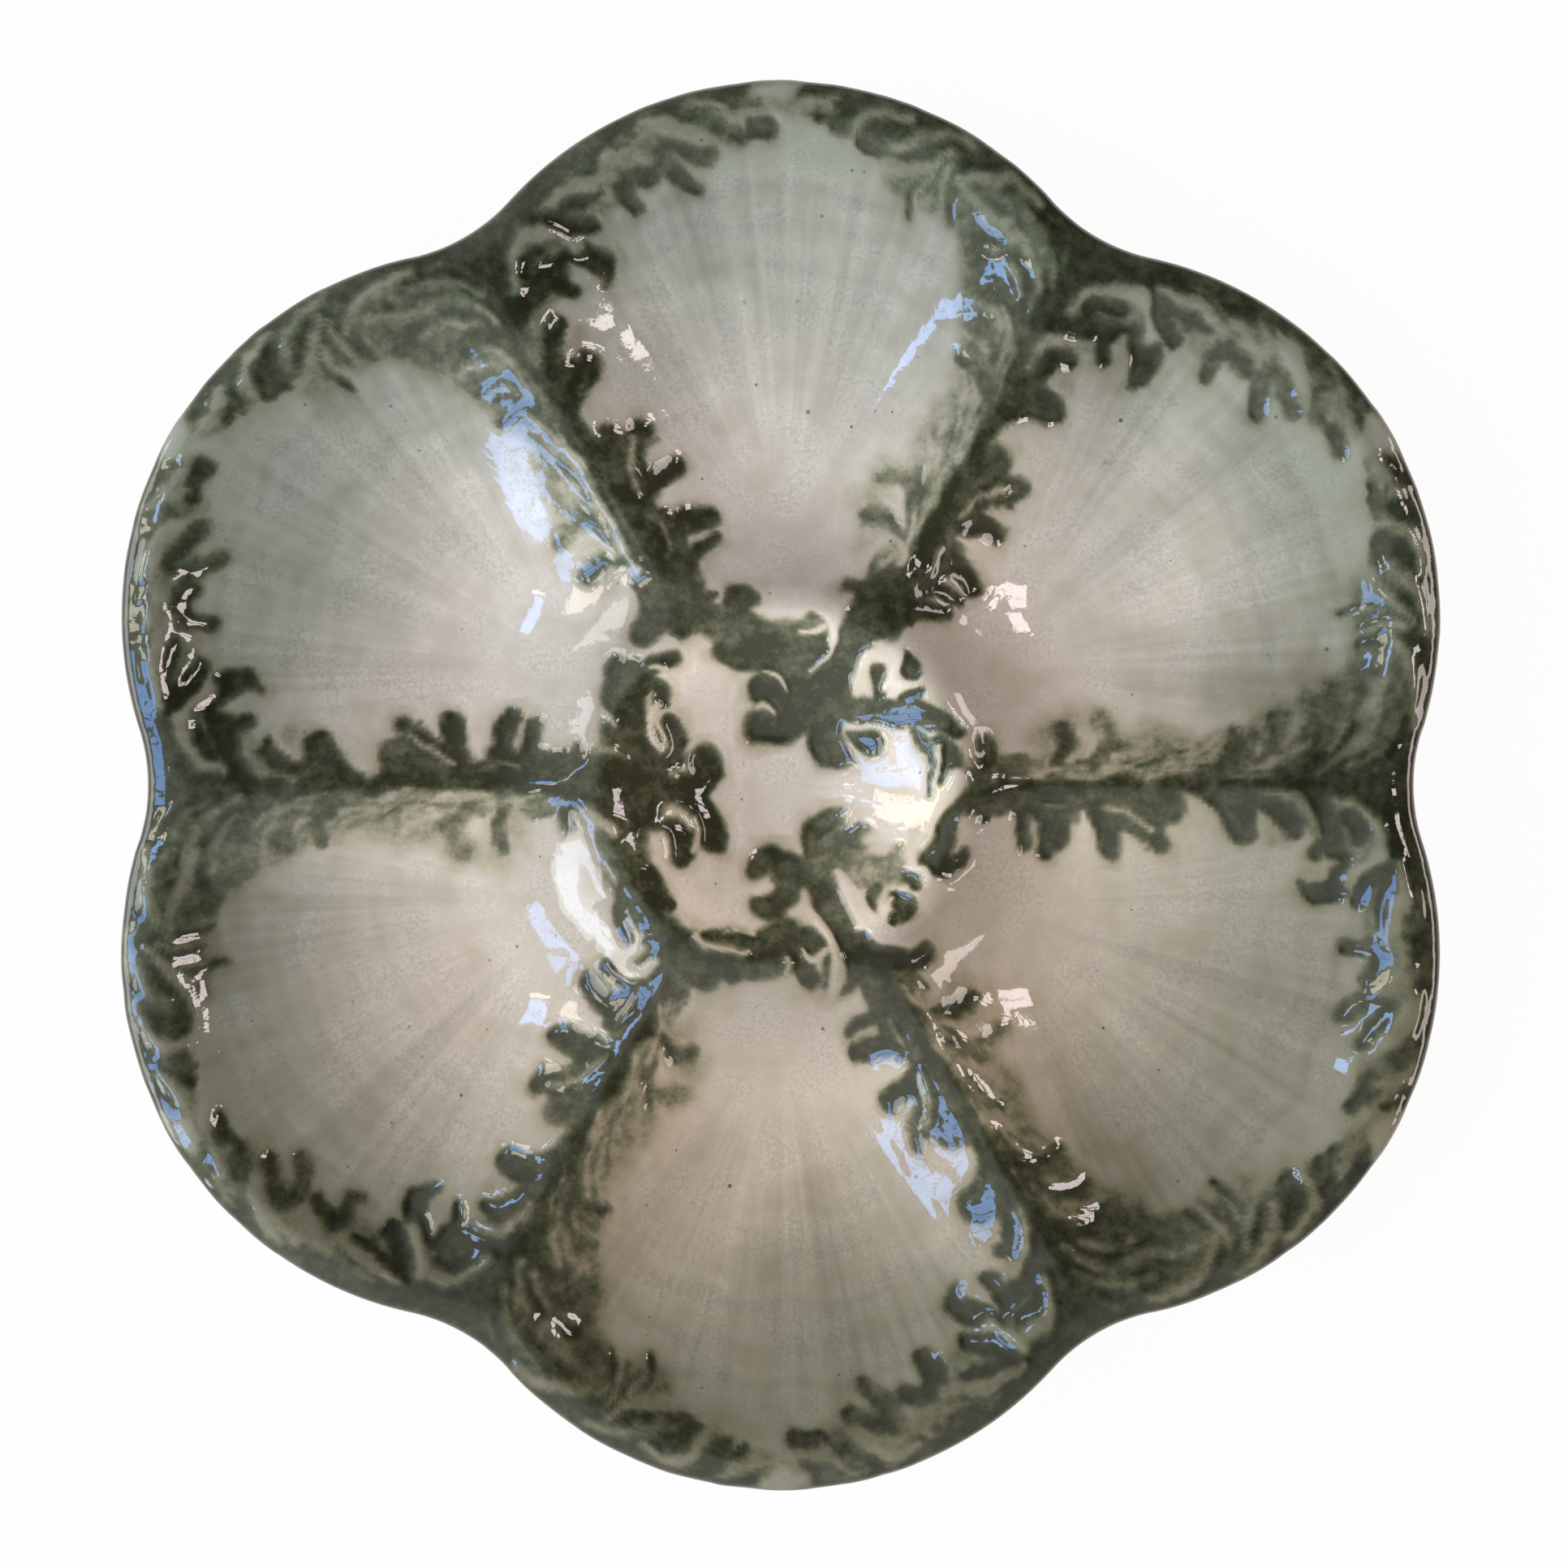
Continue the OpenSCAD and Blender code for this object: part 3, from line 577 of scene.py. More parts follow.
def shell_frame(r, a):
    """Place in a well's shell: direction from its hinge in degrees, distance, well number and a fade.

    The direction drifts a little from well to well. The fade falls to 0 towards hinge, rim and sides.
    """
    turn = from_lobe(a)
    well = np.round((a - turn) / HALF_TURN)
    along, across = r * np.cos(turn) - HINGE_R, r * np.sin(turn)
    far = np.hypot(along, across)
    fan = np.degrees(np.arctan2(across, np.maximum(along, MM))) + 1.3 * np.sin(1.7 * well) * far / LOBE_R
    side = r * np.sin(np.abs(from_ridge(a)))
    out = edge_radius(a) - r
    gaps = ((far, 6, 26), (out, 8, 12), (side, 8, 9))
    fade = math.prod(ease((gap - start * MM) / (width * MM)) for gap, start, width in gaps)
    return fan, far, well, fade


def shell_ribs(r, a):
    """Rays and growth lines of a shell, -1 to 1.

    A ray is a bell curve of its strength over the direction from the hinge, and a growth line is a
    narrow one over the distance. Fine ribs are two cosines of the direction.
    """
    fan, far, well, fade = shell_frame(r, a)
    fine = np.cos(2 * np.pi * fan / 3.1) + np.cos(2 * np.pi * fan / 4.7 + well)
    total = 0.2 * fine * ease((far - 20 * MM) / (25 * MM))
    for place, width, strength in SHELL_RAYS:
        total += strength * np.exp(-((fan - place) / width) ** 2)
    distance = far / STEP + 3 * np.sin(np.radians(20 * fan))
    distance += wander(r * np.cos(a), r * np.sin(a), 6, 12 * MM, 6)
    for place, strength in SHELL_LINES:
        total += strength * np.exp(-((distance - place) / LINE_WIDTH) ** 2)
    return np.clip(total, -1, 1) * fade


# Meshes

def col_turns(count):
    """Directions of a ring's columns, drawn together a little at the ridges."""
    u = np.linspace(0, 2 * np.pi, count, endpoint=False)
    return u - 0.15 * np.sin(WELLS * u) / WELLS


def strip(first, count_a, second, count_b):
    """Faces between two rings. Where one has a multiple of the other's columns, each column fans out."""
    if count_a > count_b:
        return [faces[:, ::-1] for faces in strip(second, count_b, first, count_a)]
    i = np.arange(count_a)
    parts = count_b // count_a
    near, next_near = first + i, first + (i + 1) % count_a
    far = [second + (i * parts + j) % count_b for j in range(parts + 1)]
    if parts == 1:
        return [np.stack([near, far[0], far[1], next_near], 1)]
    fan = [np.stack([near, far[j], far[j + 1]], 1) for j in range(parts)]
    return fan + [np.stack([near, far[-1], next_near], 1)]


def new_object(name, data):
    """Object of some data, linked to the scene."""
    thing = bpy.data.objects.new(name, data)
    bpy.context.scene.collection.objects.link(thing)
    return thing


def ring_skin(name, rings, attributes, poles=True):
    """Closed mesh over a list of rings, each an array of points, with a pole at each end or joined round.

    An attribute is a list with an array of values for each ring.
    """
    counts = [len(ring) for ring in rings]
    starts = np.concatenate([[0], np.cumsum(counts)])
    points = np.concatenate(rings)
    faces = []
    for k in range(len(rings) - 1):
        faces += strip(starts[k], counts[k], starts[k + 1], counts[k + 1])
    if poles:
        head, tail = len(points), len(points) + 1
        first, last = np.arange(counts[0]), starts[-2] + np.arange(counts[-1])
        faces.append(np.stack([np.full(counts[0], head), first, np.roll(first, -1)], 1))
        faces.append(np.stack([np.full(counts[-1], tail), np.roll(last, -1), last], 1))
        points = np.concatenate([points, [rings[0].mean(axis=0), rings[-1].mean(axis=0)]])
    else:
        faces += strip(starts[-2], counts[-1], starts[0], counts[0])
    faces = [face for part in faces for face in part.tolist()]
    mesh = bpy.data.meshes.new(name)
    mesh.from_pydata(points.tolist(), [], faces, shade_flat=False)
    mesh.validate()
    for key, values in attributes.items():
        ends = [values[0].mean(), values[-1].mean()] if poles else []
        values = np.concatenate([*values, ends])
        layer = mesh.attributes.new(key, "FLOAT", "POINT")
        layer.data.foreach_set("value", values.astype(np.float32))
    return new_object(name, mesh)


def at(r, a, z):
    """Points from their distance from the middle, direction and height."""
    return np.stack([r * np.cos(a), r * np.sin(a), z], axis=1)


def top_ring(r, a, leaf_depth, rib_lift):
    """Points and masks of a ring of the top, pressed down where the glaze pools and raised at the ribs."""
    level = glaze_level(r, a)
    rib = shell_ribs(r, a)
    z = plain_height(r, a) - leaf_depth * glaze_level(r, a, PRESS_BLUR) + rib_lift * (rib - 1) * (1 - level)
    fan, far, well, fade = shell_frame(r, a)
    return at(r, a, z), {"depth": level, "rib": rib, "fan": fan / 2 + 60 * well, "far": far, "fade": fade}


def build_plate(leaf_depth, rib_lift):
    """Whole plate as one closed skin of rings: centre well, wells, lip, underside.

    The lip is an arc of half its thickness. The underside eases to the lip's height over the last fifth
    of the way out.
    """
    rings = []
    masks = {key: [] for key in ("depth", "rib", "fan", "far", "fade", "under")}

    def add(points, values):
        """Add a ring and its masks, which are 0 where none is given."""
        rings.append(points)
        for key in masks:
            masks[key].append(values.get(key, np.zeros(len(points))))

    for share in np.linspace(0, 1, CENTRE_RINGS + 1)[1:]:
        n = UNDER_COLS if share < HUB_START else HUB_COLS if share < HUB_END else WELL_COLS
        add(*top_ring(np.full(n, share * RING_R), col_turns(n), leaf_depth, rib_lift))
    for start, end, count, n in WELL_BANDS:
        a = col_turns(n)
        reach = edge_radius(a) - LIP / 2 - RING_R
        for t in np.linspace(start, end, count + 1)[1:]:
            add(*top_ring(RING_R + t * reach, a, leaf_depth, rib_lift))
    lip_z = rings[-1][::RIM_COLS // WELL_COLS, 2]
    a = col_turns(WELL_COLS)
    lip_start = edge_radius(a) - LIP / 2
    for turn in np.radians(LIP_TURNS):
        under = np.full(WELL_COLS, float(ease(0.5 - math.sin(turn) / 2)))
        r = lip_start + LIP / 2 * math.cos(turn)
        level = glaze_level(np.minimum(r, edge_radius(a)), a)
        add(at(r, a, lip_z - LIP / 2 + LIP / 2 * math.sin(turn)), {"depth": level, "under": under})
    low_z = rings[-1][:, 2]
    for n, shares in UNDER_BANDS:
        a = col_turns(n)
        for t in shares:
            r = t * (edge_radius(a) - LIP / 2)
            join = ease((t - 0.8) / 0.2)
            z = under_height(r, a) * (1 - join) + join * low_z[::WELL_COLS // n]
            add(at(r, a, z), {"under": np.ones(n)})
    return ring_skin("plate", rings, masks)


def build_foot():
    """Foot ring: a profile carried round, from the underside down a hollow flare to a rounded land."""
    a = col_turns(FOOT_COLS)
    rings, land = [], []

    def add(r, z, bare):
        """Add a ring at a radius, and how bare of glaze it is."""
        rings.append(at(np.full(FOOT_COLS, r), a, np.broadcast_to(z, (FOOT_COLS,))))
        land.append(np.full(FOOT_COLS, bare))

    def side(foot, way):
        """One side, from the underside to the land: the flare falls off with a power of the way down."""
        top = under_height(np.full(FOOT_COLS, foot + way * FOOT_FLARE), a)
        for t in np.linspace(0, 1, FLARE_RINGS + 1)[:-1]:
            flare = (1 - t) ** FLARE_POWER
            add(foot + way * FOOT_FLARE * flare, top + 0.4 * MM * (1 - t) ** 4 + t * (FOOT_EDGE - top), 0.0)

    def corner(foot, way):
        """Quarter arc from a side to the land."""
        for turn in np.radians([0, 30, 60, 90]):
            add(foot - way * FOOT_EDGE * (1 - math.cos(turn)), FOOT_EDGE * (1 - math.sin(turn)),
                float(ease(math.sin(turn))))

    side(FOOT_OUT, 1)
    corner(FOOT_OUT, 1)
    outer = len(rings)
    side(FOOT_IN, -1)
    corner(FOOT_IN, -1)
    rings = rings[outer:] + rings[:outer][::-1]
    land = land[outer:] + land[:outer][::-1]
    return ring_skin("foot", rings, {"land": land}, poles=False)


# Colours and materials

def linear(rgb):
    """Linear light of an sRGB colour given as 0 to 255, by the standard's curve."""
    c = np.array(rgb, float) / 255
    out = np.where(c <= 0.04045, c / 12.92, ((c + 0.055) / 1.055) ** 2.4)
    return (*[float(v) for v in out], 1.0)


class Graph:
    """Short calls for placing and joining shader nodes."""

    def __init__(self, tree):
        self.tree = tree

    def node(self, kind, settings=None, **inputs):
        """Node of a kind, with its settings and inputs put in by name."""
        node = self.tree.nodes.new(kind)
        for key, value in (settings or {}).items():
            setattr(node, key, value)
        for key, value in inputs.items():
            self.put(node.inputs[key.replace("_", " ")], value)
        return node

    def put(self, socket, value):
        """Join a socket to an output, or give it a value."""
        if isinstance(value, bpy.types.NodeSocket):
            self.tree.links.new(value, socket)
        else:
            socket.default_value = value

    def fill(self, kind, settings, values):
        """Node of a kind, with its inputs put in by number."""
        node = self.node(kind, settings)
        for index, value in values.items():
            self.put(node.inputs[index], value)
        return node

    def math(self, operation, *values):
        """An operation on the first two values, on the result and the third, and so on."""
        total = values[0]
        for value in values[1:]:
            total = self.fill("ShaderNodeMath", {"operation": operation}, {0: total, 1: value}).outputs[0]
        return total

    def plus(self, *values):
        """Sum of values."""
        return self.math("ADD", *values)

    def times(self, *values):
        """Product of values."""
        return self.math("MULTIPLY", *values)

    def ramp(self, value, low, high, out_low=0.0, out_high=1.0):
        """Value eased from one range to another by the smooth step."""
        values = dict(enumerate((value, low, high, out_low, out_high)))
        return self.fill("ShaderNodeMapRange", {"interpolation_type": "SMOOTHSTEP"}, values).outputs[0]

    def stops(self, value, colours):
        """Colour by a value, straight between the colours given as (place, linear colour)."""
        node = self.node("ShaderNodeValToRGB", Fac=value)
        line = node.color_ramp
        line.elements[0].position, line.elements[0].color = colours[0]
        line.elements[1].position, line.elements[1].color = colours[-1]
        for place, colour in colours[1:-1]:
            line.elements.new(place).color = colour
        return node.outputs[0]

    def mix(self, share, a, b, blend="MIX"):
        """Two colours blended by a share."""
        settings = {"data_type": "RGBA", "blend_type": blend}
        return self.fill("ShaderNodeMix", settings, {0: share, 6: a, 7: b}).outputs[2]

    def tint(self, colour, *tints):
        """Colour multiplied by each tint in turn."""
        for value in tints:
            colour = self.mix(1.0, colour, value, "MULTIPLY")
        return colour

    def mix_shaders(self, share, a, b):
        """Two shaders blended by a share."""
        values = {0: share, 1: a.outputs[0], 2: b.outputs[0]}
        return self.fill("ShaderNodeMixShader", None, values).outputs[0]

    def noise(self, vector, scale, detail, rough):
        """Noise about one half."""
        node = self.node("ShaderNodeTexNoise", Vector=vector, Scale=scale, Detail=detail, Roughness=rough)
        return node.outputs[0]

    def attribute(self, name):
        """Value of a mesh attribute."""
        return self.node("ShaderNodeAttribute", {"attribute_name": name}).outputs["Fac"]


def new_group(name, inputs, outputs):
    """Node group of float inputs and outputs: its graph, the place on the object, and its sockets."""
    tree = bpy.data.node_groups.new(name, "ShaderNodeTree")
    for key, default in inputs.items():
        socket = tree.interface.new_socket(key, in_out="INPUT", socket_type="NodeSocketFloat")
        socket.default_value = default
    for key in outputs:
        tree.interface.new_socket(key, in_out="OUTPUT", socket_type="NodeSocketFloat")
    graph = Graph(tree)
    place = graph.node("ShaderNodeTexCoord").outputs["Object"]
    return graph, place, graph.node("NodeGroupInput").outputs, graph.node("NodeGroupOutput").inputs


def iron_specks():
    """Mask of small round iron specks: a cell whose random value is low shows a dot of random size."""
    sizes = {"Scale": 420.0, "Share": 0.3, "Size": 0.17}
    graph, place, given, out = new_group("iron_specks", sizes, ["Mask"])
    cells = graph.node("ShaderNodeTexVoronoi", Vector=place, Scale=given["Scale"])
    parts = graph.node("ShaderNodeSeparateColor", Color=cells.outputs["Color"]).outputs
    shown = graph.math("LESS_THAN", parts[0], given["Share"])
    size = graph.times(graph.math("POWER", parts[1], 3.0), given["Size"])
    size = graph.plus(size, graph.times(given["Size"], 0.25))
    edge = graph.ramp(cells.outputs["Distance"], size, graph.times(size, 0.55))
    depth = graph.ramp(parts[2], 0.0, 1.0, 0.35, 1.0)
    graph.put(out["Mask"], graph.times(edge, shown, depth))
    return graph.tree


def glaze_clouds():
    """Broad, middling and fine unevenness of a poured glaze, as values about one half."""
    scales = {"Broad": 20.0, "Middle": 130.0, "Brush": 420.0, "Fine": 1500.0}
    graph, place, given, out = new_group("glaze_clouds", scales, scales)
    for key, detail in (("Broad", 3.0), ("Middle", 4.0), ("Brush", 3.0), ("Fine", 2.0)):
        graph.put(out[key], graph.noise(place, given[key], detail, 0.55))
    return graph.tree


def glaze_ripple():
    """Height of the slight waves, pits and folds in a glossy glaze, in metres."""
    depths = {"Wave": 0.00014, "Pit": 0.000006, "Fold": 0.0}
    graph, place, given, out = new_group("glaze_ripple", depths, ["Height"])
    parts = [graph.times(graph.noise(place, scale, 1.0, rough), given[key])
             for key, scale, rough in (("Wave", 110.0, 0.4), ("Pit", 1400.0, 0.5), ("Fold", 330.0, 0.5))]
    graph.put(out["Height"], graph.plus(*parts))
    return graph.tree


def new_material(name):
    """Material with one Principled shader: the material, its graph and the shader."""
    material = bpy.data.materials.new(name)
    material.use_nodes = True
    graph = Graph(material.node_tree)
    graph.tree.nodes.clear()
    shader = graph.node("ShaderNodeBsdfPrincipled")
    graph.node("ShaderNodeOutputMaterial", Surface=shader.outputs[0])
    return material, graph, shader


def use_group(graph, tree, **inputs):
    """Outputs of a node group placed with its own values."""
    return graph.node("ShaderNodeGroup", {"node_tree": tree}, **inputs).outputs


def shared_groups():
    """Node groups that more than one material uses, each built once and named as its function."""
    makers = {"clouds": glaze_clouds, "specks": iron_specks, "ripple": glaze_ripple}
    return {key: bpy.data.node_groups.get(make.__name__) or make() for key, make in makers.items()}


def glossy_bump(graph, shader, height):
    """Give a shader the normal of a glaze's ripples, and the glaze's index of refraction."""
    bump = graph.node("ShaderNodeBump", Strength=1.0, Distance=1.0, Height=height)
    graph.put(shader.inputs["Normal"], bump.outputs[0])
    shader.inputs["IOR"].default_value = GLAZE_IOR


def pale_glaze(graph, place, clouds, look):
    """Thin glaze colour, blush by the hinges to sage by the rim, with painted light falloff and painted
    hinge sheen.
    """
    length = {"operation": "LENGTH"}
    radius = graph.node("ShaderNodeVectorMath", length, Vector=place).outputs["Value"]
    drift = graph.ramp(clouds["Broad"], 0.3, 0.7, -0.008, 0.008)
    way = graph.ramp(graph.plus(radius, drift), 0.045, 0.112)
    pale = graph.mix(way, (*look.blush,), (*look.sage,))
    # Painted light falloff: lighter and cooler towards +y and -x, darker and warmer towards -y and +x,
    # standing in for light falling off across the plate
    parts = graph.node("ShaderNodeSeparateXYZ", Vector=place).outputs
    painted_falloff = graph.plus(parts["Y"], graph.times(parts["X"], -0.3))
    painted_falloff = graph.mix(graph.ramp(painted_falloff, -0.1, 0.1), (0.89, 0.83, 0.76, 1), (1.12, 1.18, 1.27, 1))
    # Tone by distance from the middle, with painted sheen lifting the hinge slopes to full brightness
    tones_and_painted_sheen = [(far, (tone, tone, tone, 1)) for far, tone in PALE_TONES_AND_PAINTED_LIGHT]
    return graph.tint(pale, painted_falloff, graph.stops(graph.times(radius, 8.0), tones_and_painted_sheen))


def glaze_shade(graph, clouds, rib):
    """Lightness of the glaze: clouds, the shell's ribs, and streaks along and across the shell's rays."""
    fan, far = graph.attribute("fan"), graph.attribute("far")
    waves = []
    for along, across, height in ((1.0, 14.0, 0.042), (0.06, 330.0, 0.025)):
        point = graph.node("ShaderNodeCombineXYZ", X=graph.times(fan, along), Y=graph.times(far, across))
        wave = graph.noise(point.outputs[0], 1.0, 2.0, 0.6)
        waves.append(graph.ramp(wave, 0.35, 0.65, -height, height))
    streak = graph.times(graph.plus(*waves), graph.attribute("fade"))
    middle = graph.ramp(clouds["Middle"], 0.25, 0.75, 0.95, 1.04)
    fine = graph.ramp(clouds["Fine"], 0.25, 0.75, 0.87, 1.12)
    shade = graph.times(middle, fine, graph.ramp(rib, -1.0, 1.0, 0.9, 1.1), graph.plus(streak, 1.0))
    return graph.node("ShaderNodeCombineColor", Red=shade, Green=shade, Blue=shade).outputs[0]


def glaze_thickness(graph, clouds, depth):
    """Level of the glaze with its unevenness added, which is greatest by brush marks where it pools."""
    brush = graph.ramp(clouds["Brush"], 0.3, 0.7, -0.13, 0.13)
    brush = graph.times(brush, graph.ramp(depth, 0.1, 0.5))
    middle = graph.ramp(clouds["Middle"], 0.3, 0.7, -0.1, 0.1)
    return graph.plus(depth, middle, brush, graph.ramp(clouds["Fine"], 0.3, 0.7, -0.07, 0.07))


def plate_glaze(groups, look):
    """Majolica glaze: pale where thin, olive where deep, brown along the lip and cream underneath."""
    material, graph, shader = new_material("plate_glaze")
    clouds = use_group(graph, groups["clouds"])
    specks = use_group(graph, groups["specks"])
    depth, rib, under = (graph.attribute(name) for name in ("depth", "rib", "under"))
    ripple = use_group(graph, groups["ripple"], Fold=graph.ramp(depth, 0.03, 0.3, 0.0, 0.00009))
    place = graph.node("ShaderNodeTexCoord").outputs["Object"]
    tint = graph.stops(glaze_thickness(graph, clouds, depth), [*GLAZE_TINTS, (1.0, (*look.deep,))])
    body = graph.tint(pale_glaze(graph, place, clouds, look), tint, glaze_shade(graph, clouds, rib))
    body = graph.mix(graph.ramp(under, 0.02, 0.15, 0.0, 0.7), body, linear((122, 92, 72)))
    body = graph.mix(graph.ramp(under, 0.3, 0.8), body, linear((206, 198, 178)))
    spots = graph.times(specks["Mask"], graph.ramp(depth, 0.2, 0.7, 0.8, 0.0))
    graph.put(shader.inputs["Base Color"], graph.mix(spots, body, linear((58, 50, 40))))
    rough = graph.ramp(clouds["Middle"], 0.2, 0.8, look.gloss_rough * 0.7, look.gloss_rough * 1.3)
    graph.put(shader.inputs["Roughness"], rough)
    glossy_bump(graph, shader, ripple["Height"])
    return material


def foot_glaze(groups):
    """Cream glaze on the foot ring, wiped off the land down to bare buff clay."""
    material, graph, shader = new_material("foot_glaze")
    clouds = use_group(graph, groups["clouds"], Broad=40.0)
    specks = use_group(graph, groups["specks"], Share=0.3)
    ripple = use_group(graph, groups["ripple"], Pit=0.00003)
    patch = graph.ramp(clouds["Broad"], 0.35, 0.65)
    cream = graph.mix(patch, linear((212, 204, 184)), linear((190, 184, 162)))
    patch = graph.ramp(clouds["Middle"], 0.3, 0.7)
    clay = graph.mix(patch, linear((196, 168, 132)), linear((168, 138, 104)))
    edge = graph.plus(graph.attribute("land"), graph.ramp(clouds["Middle"], 0.3, 0.7, -0.25, 0.25))
    bare = graph.ramp(edge, 0.45, 0.6)
    body = graph.mix(bare, cream, clay)
    body = graph.mix(graph.times(specks["Mask"], 0.8), body, linear((52, 44, 34)))
    graph.put(shader.inputs["Base Color"], body)
    graph.put(shader.inputs["Roughness"], graph.ramp(bare, 0.0, 1.0, 0.14, 0.85))
    glossy_bump(graph, shader, ripple["Height"])
    return material


def floor_paint():
    """Pale floor: nearly white to the camera and in reflections, with a little of the shadow kept."""
    material, graph, shader = new_material("floor_paint")
    shader.inputs["Base Color"].default_value = (0.9, 0.9, 0.9, 1)
    shader.inputs["Roughness"].default_value = 0.9
    path = graph.node("ShaderNodeLightPath").outputs
    seen = graph.math("MAXIMUM", path["Is Camera Ray"], path["Is Glossy Ray"], path["Is Transmission Ray"])
    glow = graph.node("ShaderNodeEmission", Color=(1, 1, 1, 1), Strength=1.0)
    output = next(node for node in graph.tree.nodes if node.type == "OUTPUT_MATERIAL")
    graph.put(output.inputs["Surface"], graph.mix_shaders(graph.times(seen, 0.94), shader, glow))
    return material


# Stage

def add_light(name, azimuth, elevation, size, colour, radiance):
    """Rectangular light on a dome about the plate, facing it. Power is radiance times pi times area."""
    data = bpy.data.lights.new(name, "AREA")
    data.shape = "RECTANGLE"
    data.size, data.size_y = size
    data.color = colour
    data.energy = radiance * math.pi * size[0] * size[1]
    light = new_object(name, data)
    az, el = math.radians(azimuth), math.radians(elevation)
    light.location = (DOME_R * math.cos(el) * math.cos(az), DOME_R * math.cos(el) * math.sin(az),
                      DOME_R * math.sin(el))
    light.rotation_euler = (math.pi / 2 - el, 0, az + math.pi / 2)


def add_window(name, azimuths, elevations, panes, colour, radiance):
    """Window of panes between thin bars, given by its range of azimuth and elevation in degrees."""
    columns, rows = panes
    step_az = (azimuths[1] - azimuths[0]) / columns
    step_el = (elevations[1] - elevations[0]) / rows
    for i in range(columns):
        for j in range(rows):
            azimuth = azimuths[0] + (i + 0.5) * step_az
            elevation = elevations[0] + (j + 0.5) * step_el
            width = 2 * DOME_R * math.tan(math.radians(step_az / 2)) * math.cos(math.radians(elevation))
            height = 2 * DOME_R * math.tan(math.radians(step_el / 2))
            size = (PANE_SHARE * width, PANE_SHARE * height)
            add_light(f"{name}_{i}_{j}", azimuth, elevation, size, colour, radiance)


def build_world():
    """Soft room light: cool and bright from the left, warm and dim from the right, dark overhead."""
    world = bpy.data.worlds.new("room")
    world.use_nodes = True
    graph = Graph(world.node_tree)
    graph.tree.nodes.clear()
    direction = graph.node("ShaderNodeTexCoord").outputs["Generated"]
    parts = graph.node("ShaderNodeSeparateXYZ", Vector=direction).outputs
    across = graph.plus(parts["X"], graph.times(parts["Y"], 0.6))
    colour = graph.mix(graph.ramp(across, -1.1, 1.1), (1.12, 1.15, 1.02, 1), (0.23, 0.2, 0.16, 1))
    height = graph.plus(parts["Z"], graph.times(across, 0.35))
    colour = graph.mix(graph.ramp(height, 0.75, 1.05, 0.0, 0.75), colour, (0.05, 0.05, 0.045, 1))
    back = graph.node("ShaderNodeBackground", Color=colour, Strength=1.0)
    white = graph.node("ShaderNodeBackground", Color=(1, 1, 1, 1), Strength=1.0)
    seen = graph.node("ShaderNodeLightPath").outputs["Is Camera Ray"]
    graph.node("ShaderNodeOutputWorld", Surface=graph.mix_shaders(seen, back, white))
    bpy.context.scene.world = world


def build_floor():
    """Flat square floor under the foot ring, as a grid of faces."""
    line = FLOOR_FACES + 1
    side = np.linspace(-FLOOR_HALF, FLOOR_HALF, line)
    points = [(x, y, 0) for x in side for y in side]
    firsts = [i * line + j for i in range(FLOOR_FACES) for j in range(FLOOR_FACES)]
    faces = [(first, first + line, first + line + 1, first + 1) for first in firsts]
    mesh = bpy.data.meshes.new("floor")
    mesh.from_pydata(points, [], faces)
    floor = new_object("floor", mesh)
    floor.data.materials.append(floor_paint())
    return floor


def build_camera():
    """Camera straight above, framed so that the plate's centre and width fall as in the photograph."""
    per_px = TIP_R / PHOTO_TIP
    centre_x, centre_y = PHOTO_CENTRE
    data = bpy.data.cameras.new("camera")
    data.sensor_width = SENSOR_MM
    data.lens = SENSOR_MM * (VIEW_Z - EDGE_Z) / (PHOTO_SIDE * per_px)
    data.clip_start = 0.05
    camera = new_object("camera", data)
    camera.location = ((PHOTO_SIDE / 2 - centre_x) * per_px, (centre_y - PHOTO_SIDE / 2) * per_px, VIEW_Z)
    bpy.context.scene.camera = camera


# Settings, operators and panel

class PlateSettings(bpy.types.PropertyGroup):
    """Sizes and colours of the plate that a user would change."""
    leaf_depth: bpy.props.FloatProperty(
        name="Leaf depth", description="Depth of the pressed leaves under the glaze",
        default=0.9 * MM, min=0.0, unit="LENGTH")
    rib_lift: bpy.props.FloatProperty(
        name="Rib height", description="Half the height of the shell ribs in the wells",
        default=0.1 * MM, min=0.0, unit="LENGTH")
    sage: bpy.props.FloatVectorProperty(
        name="Sage", description="Greener tone of the pale glaze, towards the rim",
        subtype="COLOR", size=4, min=0, max=1, default=linear((149, 149, 136)))
    blush: bpy.props.FloatVectorProperty(
        name="Blush", description="Warmer tone of the pale glaze, towards the middle",
        subtype="COLOR", size=4, min=0, max=1, default=linear((245, 230, 217)))
    deep: bpy.props.FloatVectorProperty(
        name="Deep", description="Share of the light that the deepest glaze lets back",
        subtype="COLOR", size=4, min=0, max=1, default=(0.036, 0.042, 0.018, 1.0))
    gloss_rough: bpy.props.FloatProperty(
        name="Gloss roughness", description="Roughness of the glaze", default=0.04, min=0.0, max=1.0)


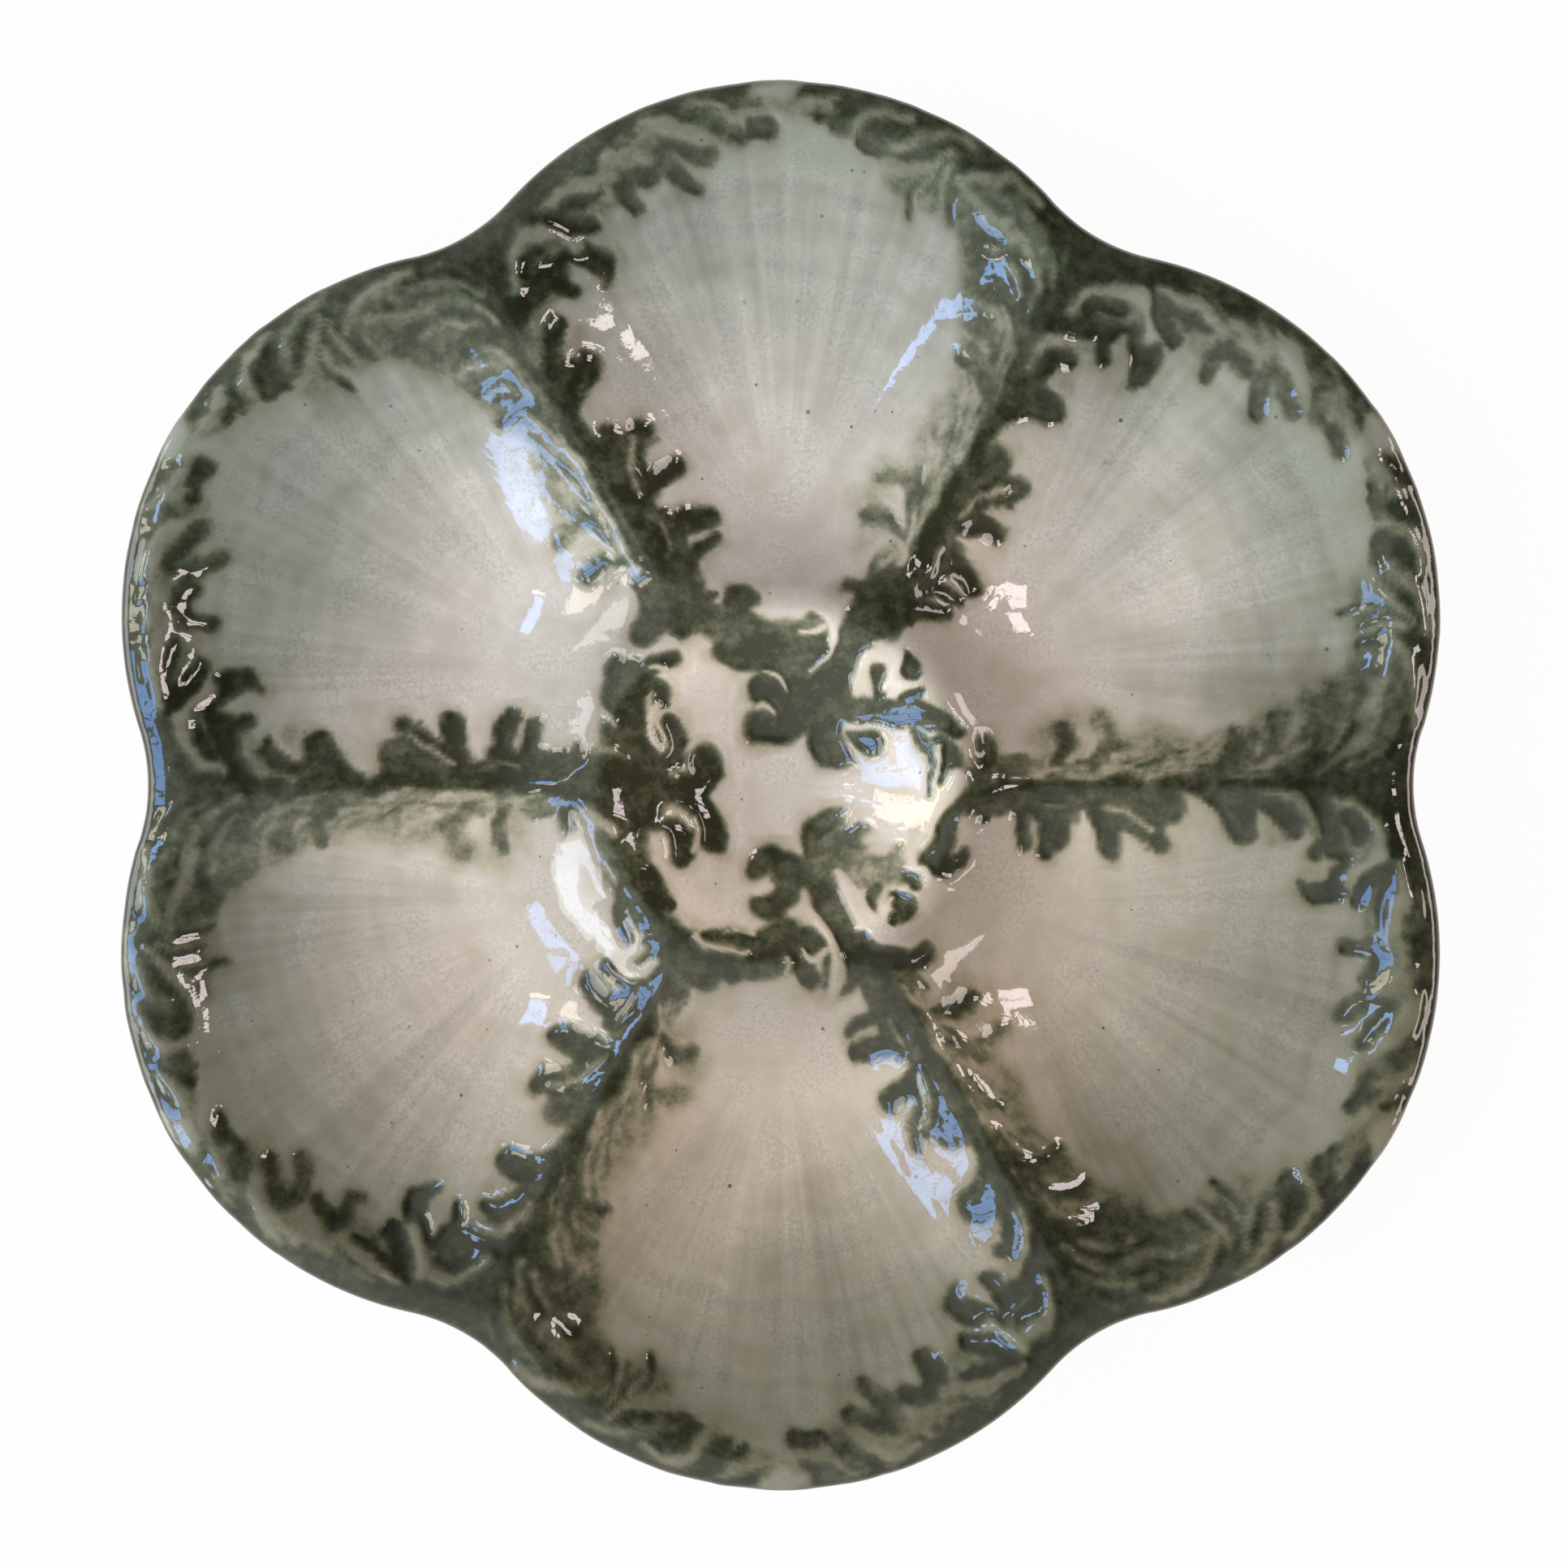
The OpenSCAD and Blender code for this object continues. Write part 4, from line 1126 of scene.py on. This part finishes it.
class PLATE_OT_plate(bpy.types.Operator):
    """Build the glazed plate over its clay body"""
    bl_idname = "plate.plate"
    bl_label = "Plate"

    def execute(self, context):
        look = context.scene.plate_settings
        plate = build_plate(look.leaf_depth, look.rib_lift)
        plate.data.materials.append(plate_glaze(shared_groups(), look))
        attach(plate, "root")
        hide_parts("body")
        return {"FINISHED"}


class PLATE_OT_foot(bpy.types.Operator):
    """Build the foot ring under the plate"""
    bl_idname = "plate.foot"
    bl_label = "Foot ring"

    def execute(self, context):
        foot = build_foot()
        foot.data.materials.append(foot_glaze(shared_groups()))
        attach(foot, "root")
        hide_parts("foot_ring")
        return {"FINISHED"}


class PLATE_OT_stage(bpy.types.Operator):
    """Build the floor, the room light, the windows and the camera"""
    bl_idname = "plate.stage"
    bl_label = "Stage"

    def execute(self, context):
        build_floor()
        build_world()
        for row in WINDOWS:
            add_window(*row)
        build_camera()
        context.scene.view_settings.view_transform = "Standard"
        return {"FINISHED"}


class PLATE_PT_panel(bpy.types.Panel):
    """Panel that lists the plate's operators and settings"""
    bl_idname = "PLATE_PT_panel"
    bl_label = "Oyster plate"
    bl_space_type = "VIEW_3D"
    bl_region_type = "UI"
    bl_category = "Plate"

    def draw(self, context):
        look = context.scene.plate_settings
        for key in ("leaf_depth", "rib_lift", "sage", "blush", "deep", "gloss_rough"):
            self.layout.prop(look, key)
        for operator in (PLATE_OT_plate, PLATE_OT_foot, PLATE_OT_stage):
            self.layout.operator(operator.bl_idname)


CLASSES = (PlateSettings, PLATE_OT_plate, PLATE_OT_foot, PLATE_OT_stage, PLATE_PT_panel)


def register():
    """Register the classes and the scene's settings."""
    for item in CLASSES:
        bpy.utils.register_class(item)
    bpy.types.Scene.plate_settings = bpy.props.PointerProperty(type=PlateSettings)


def unregister():
    """Take the settings and the classes away again."""
    del bpy.types.Scene.plate_settings
    for item in reversed(CLASSES):
        bpy.utils.unregister_class(item)


def main():
    """Build the plate, its foot and the stage."""
    register()
    bpy.ops.plate.plate()
    bpy.ops.plate.foot()
    bpy.ops.plate.stage()


if __name__ == "__main__":
    main()
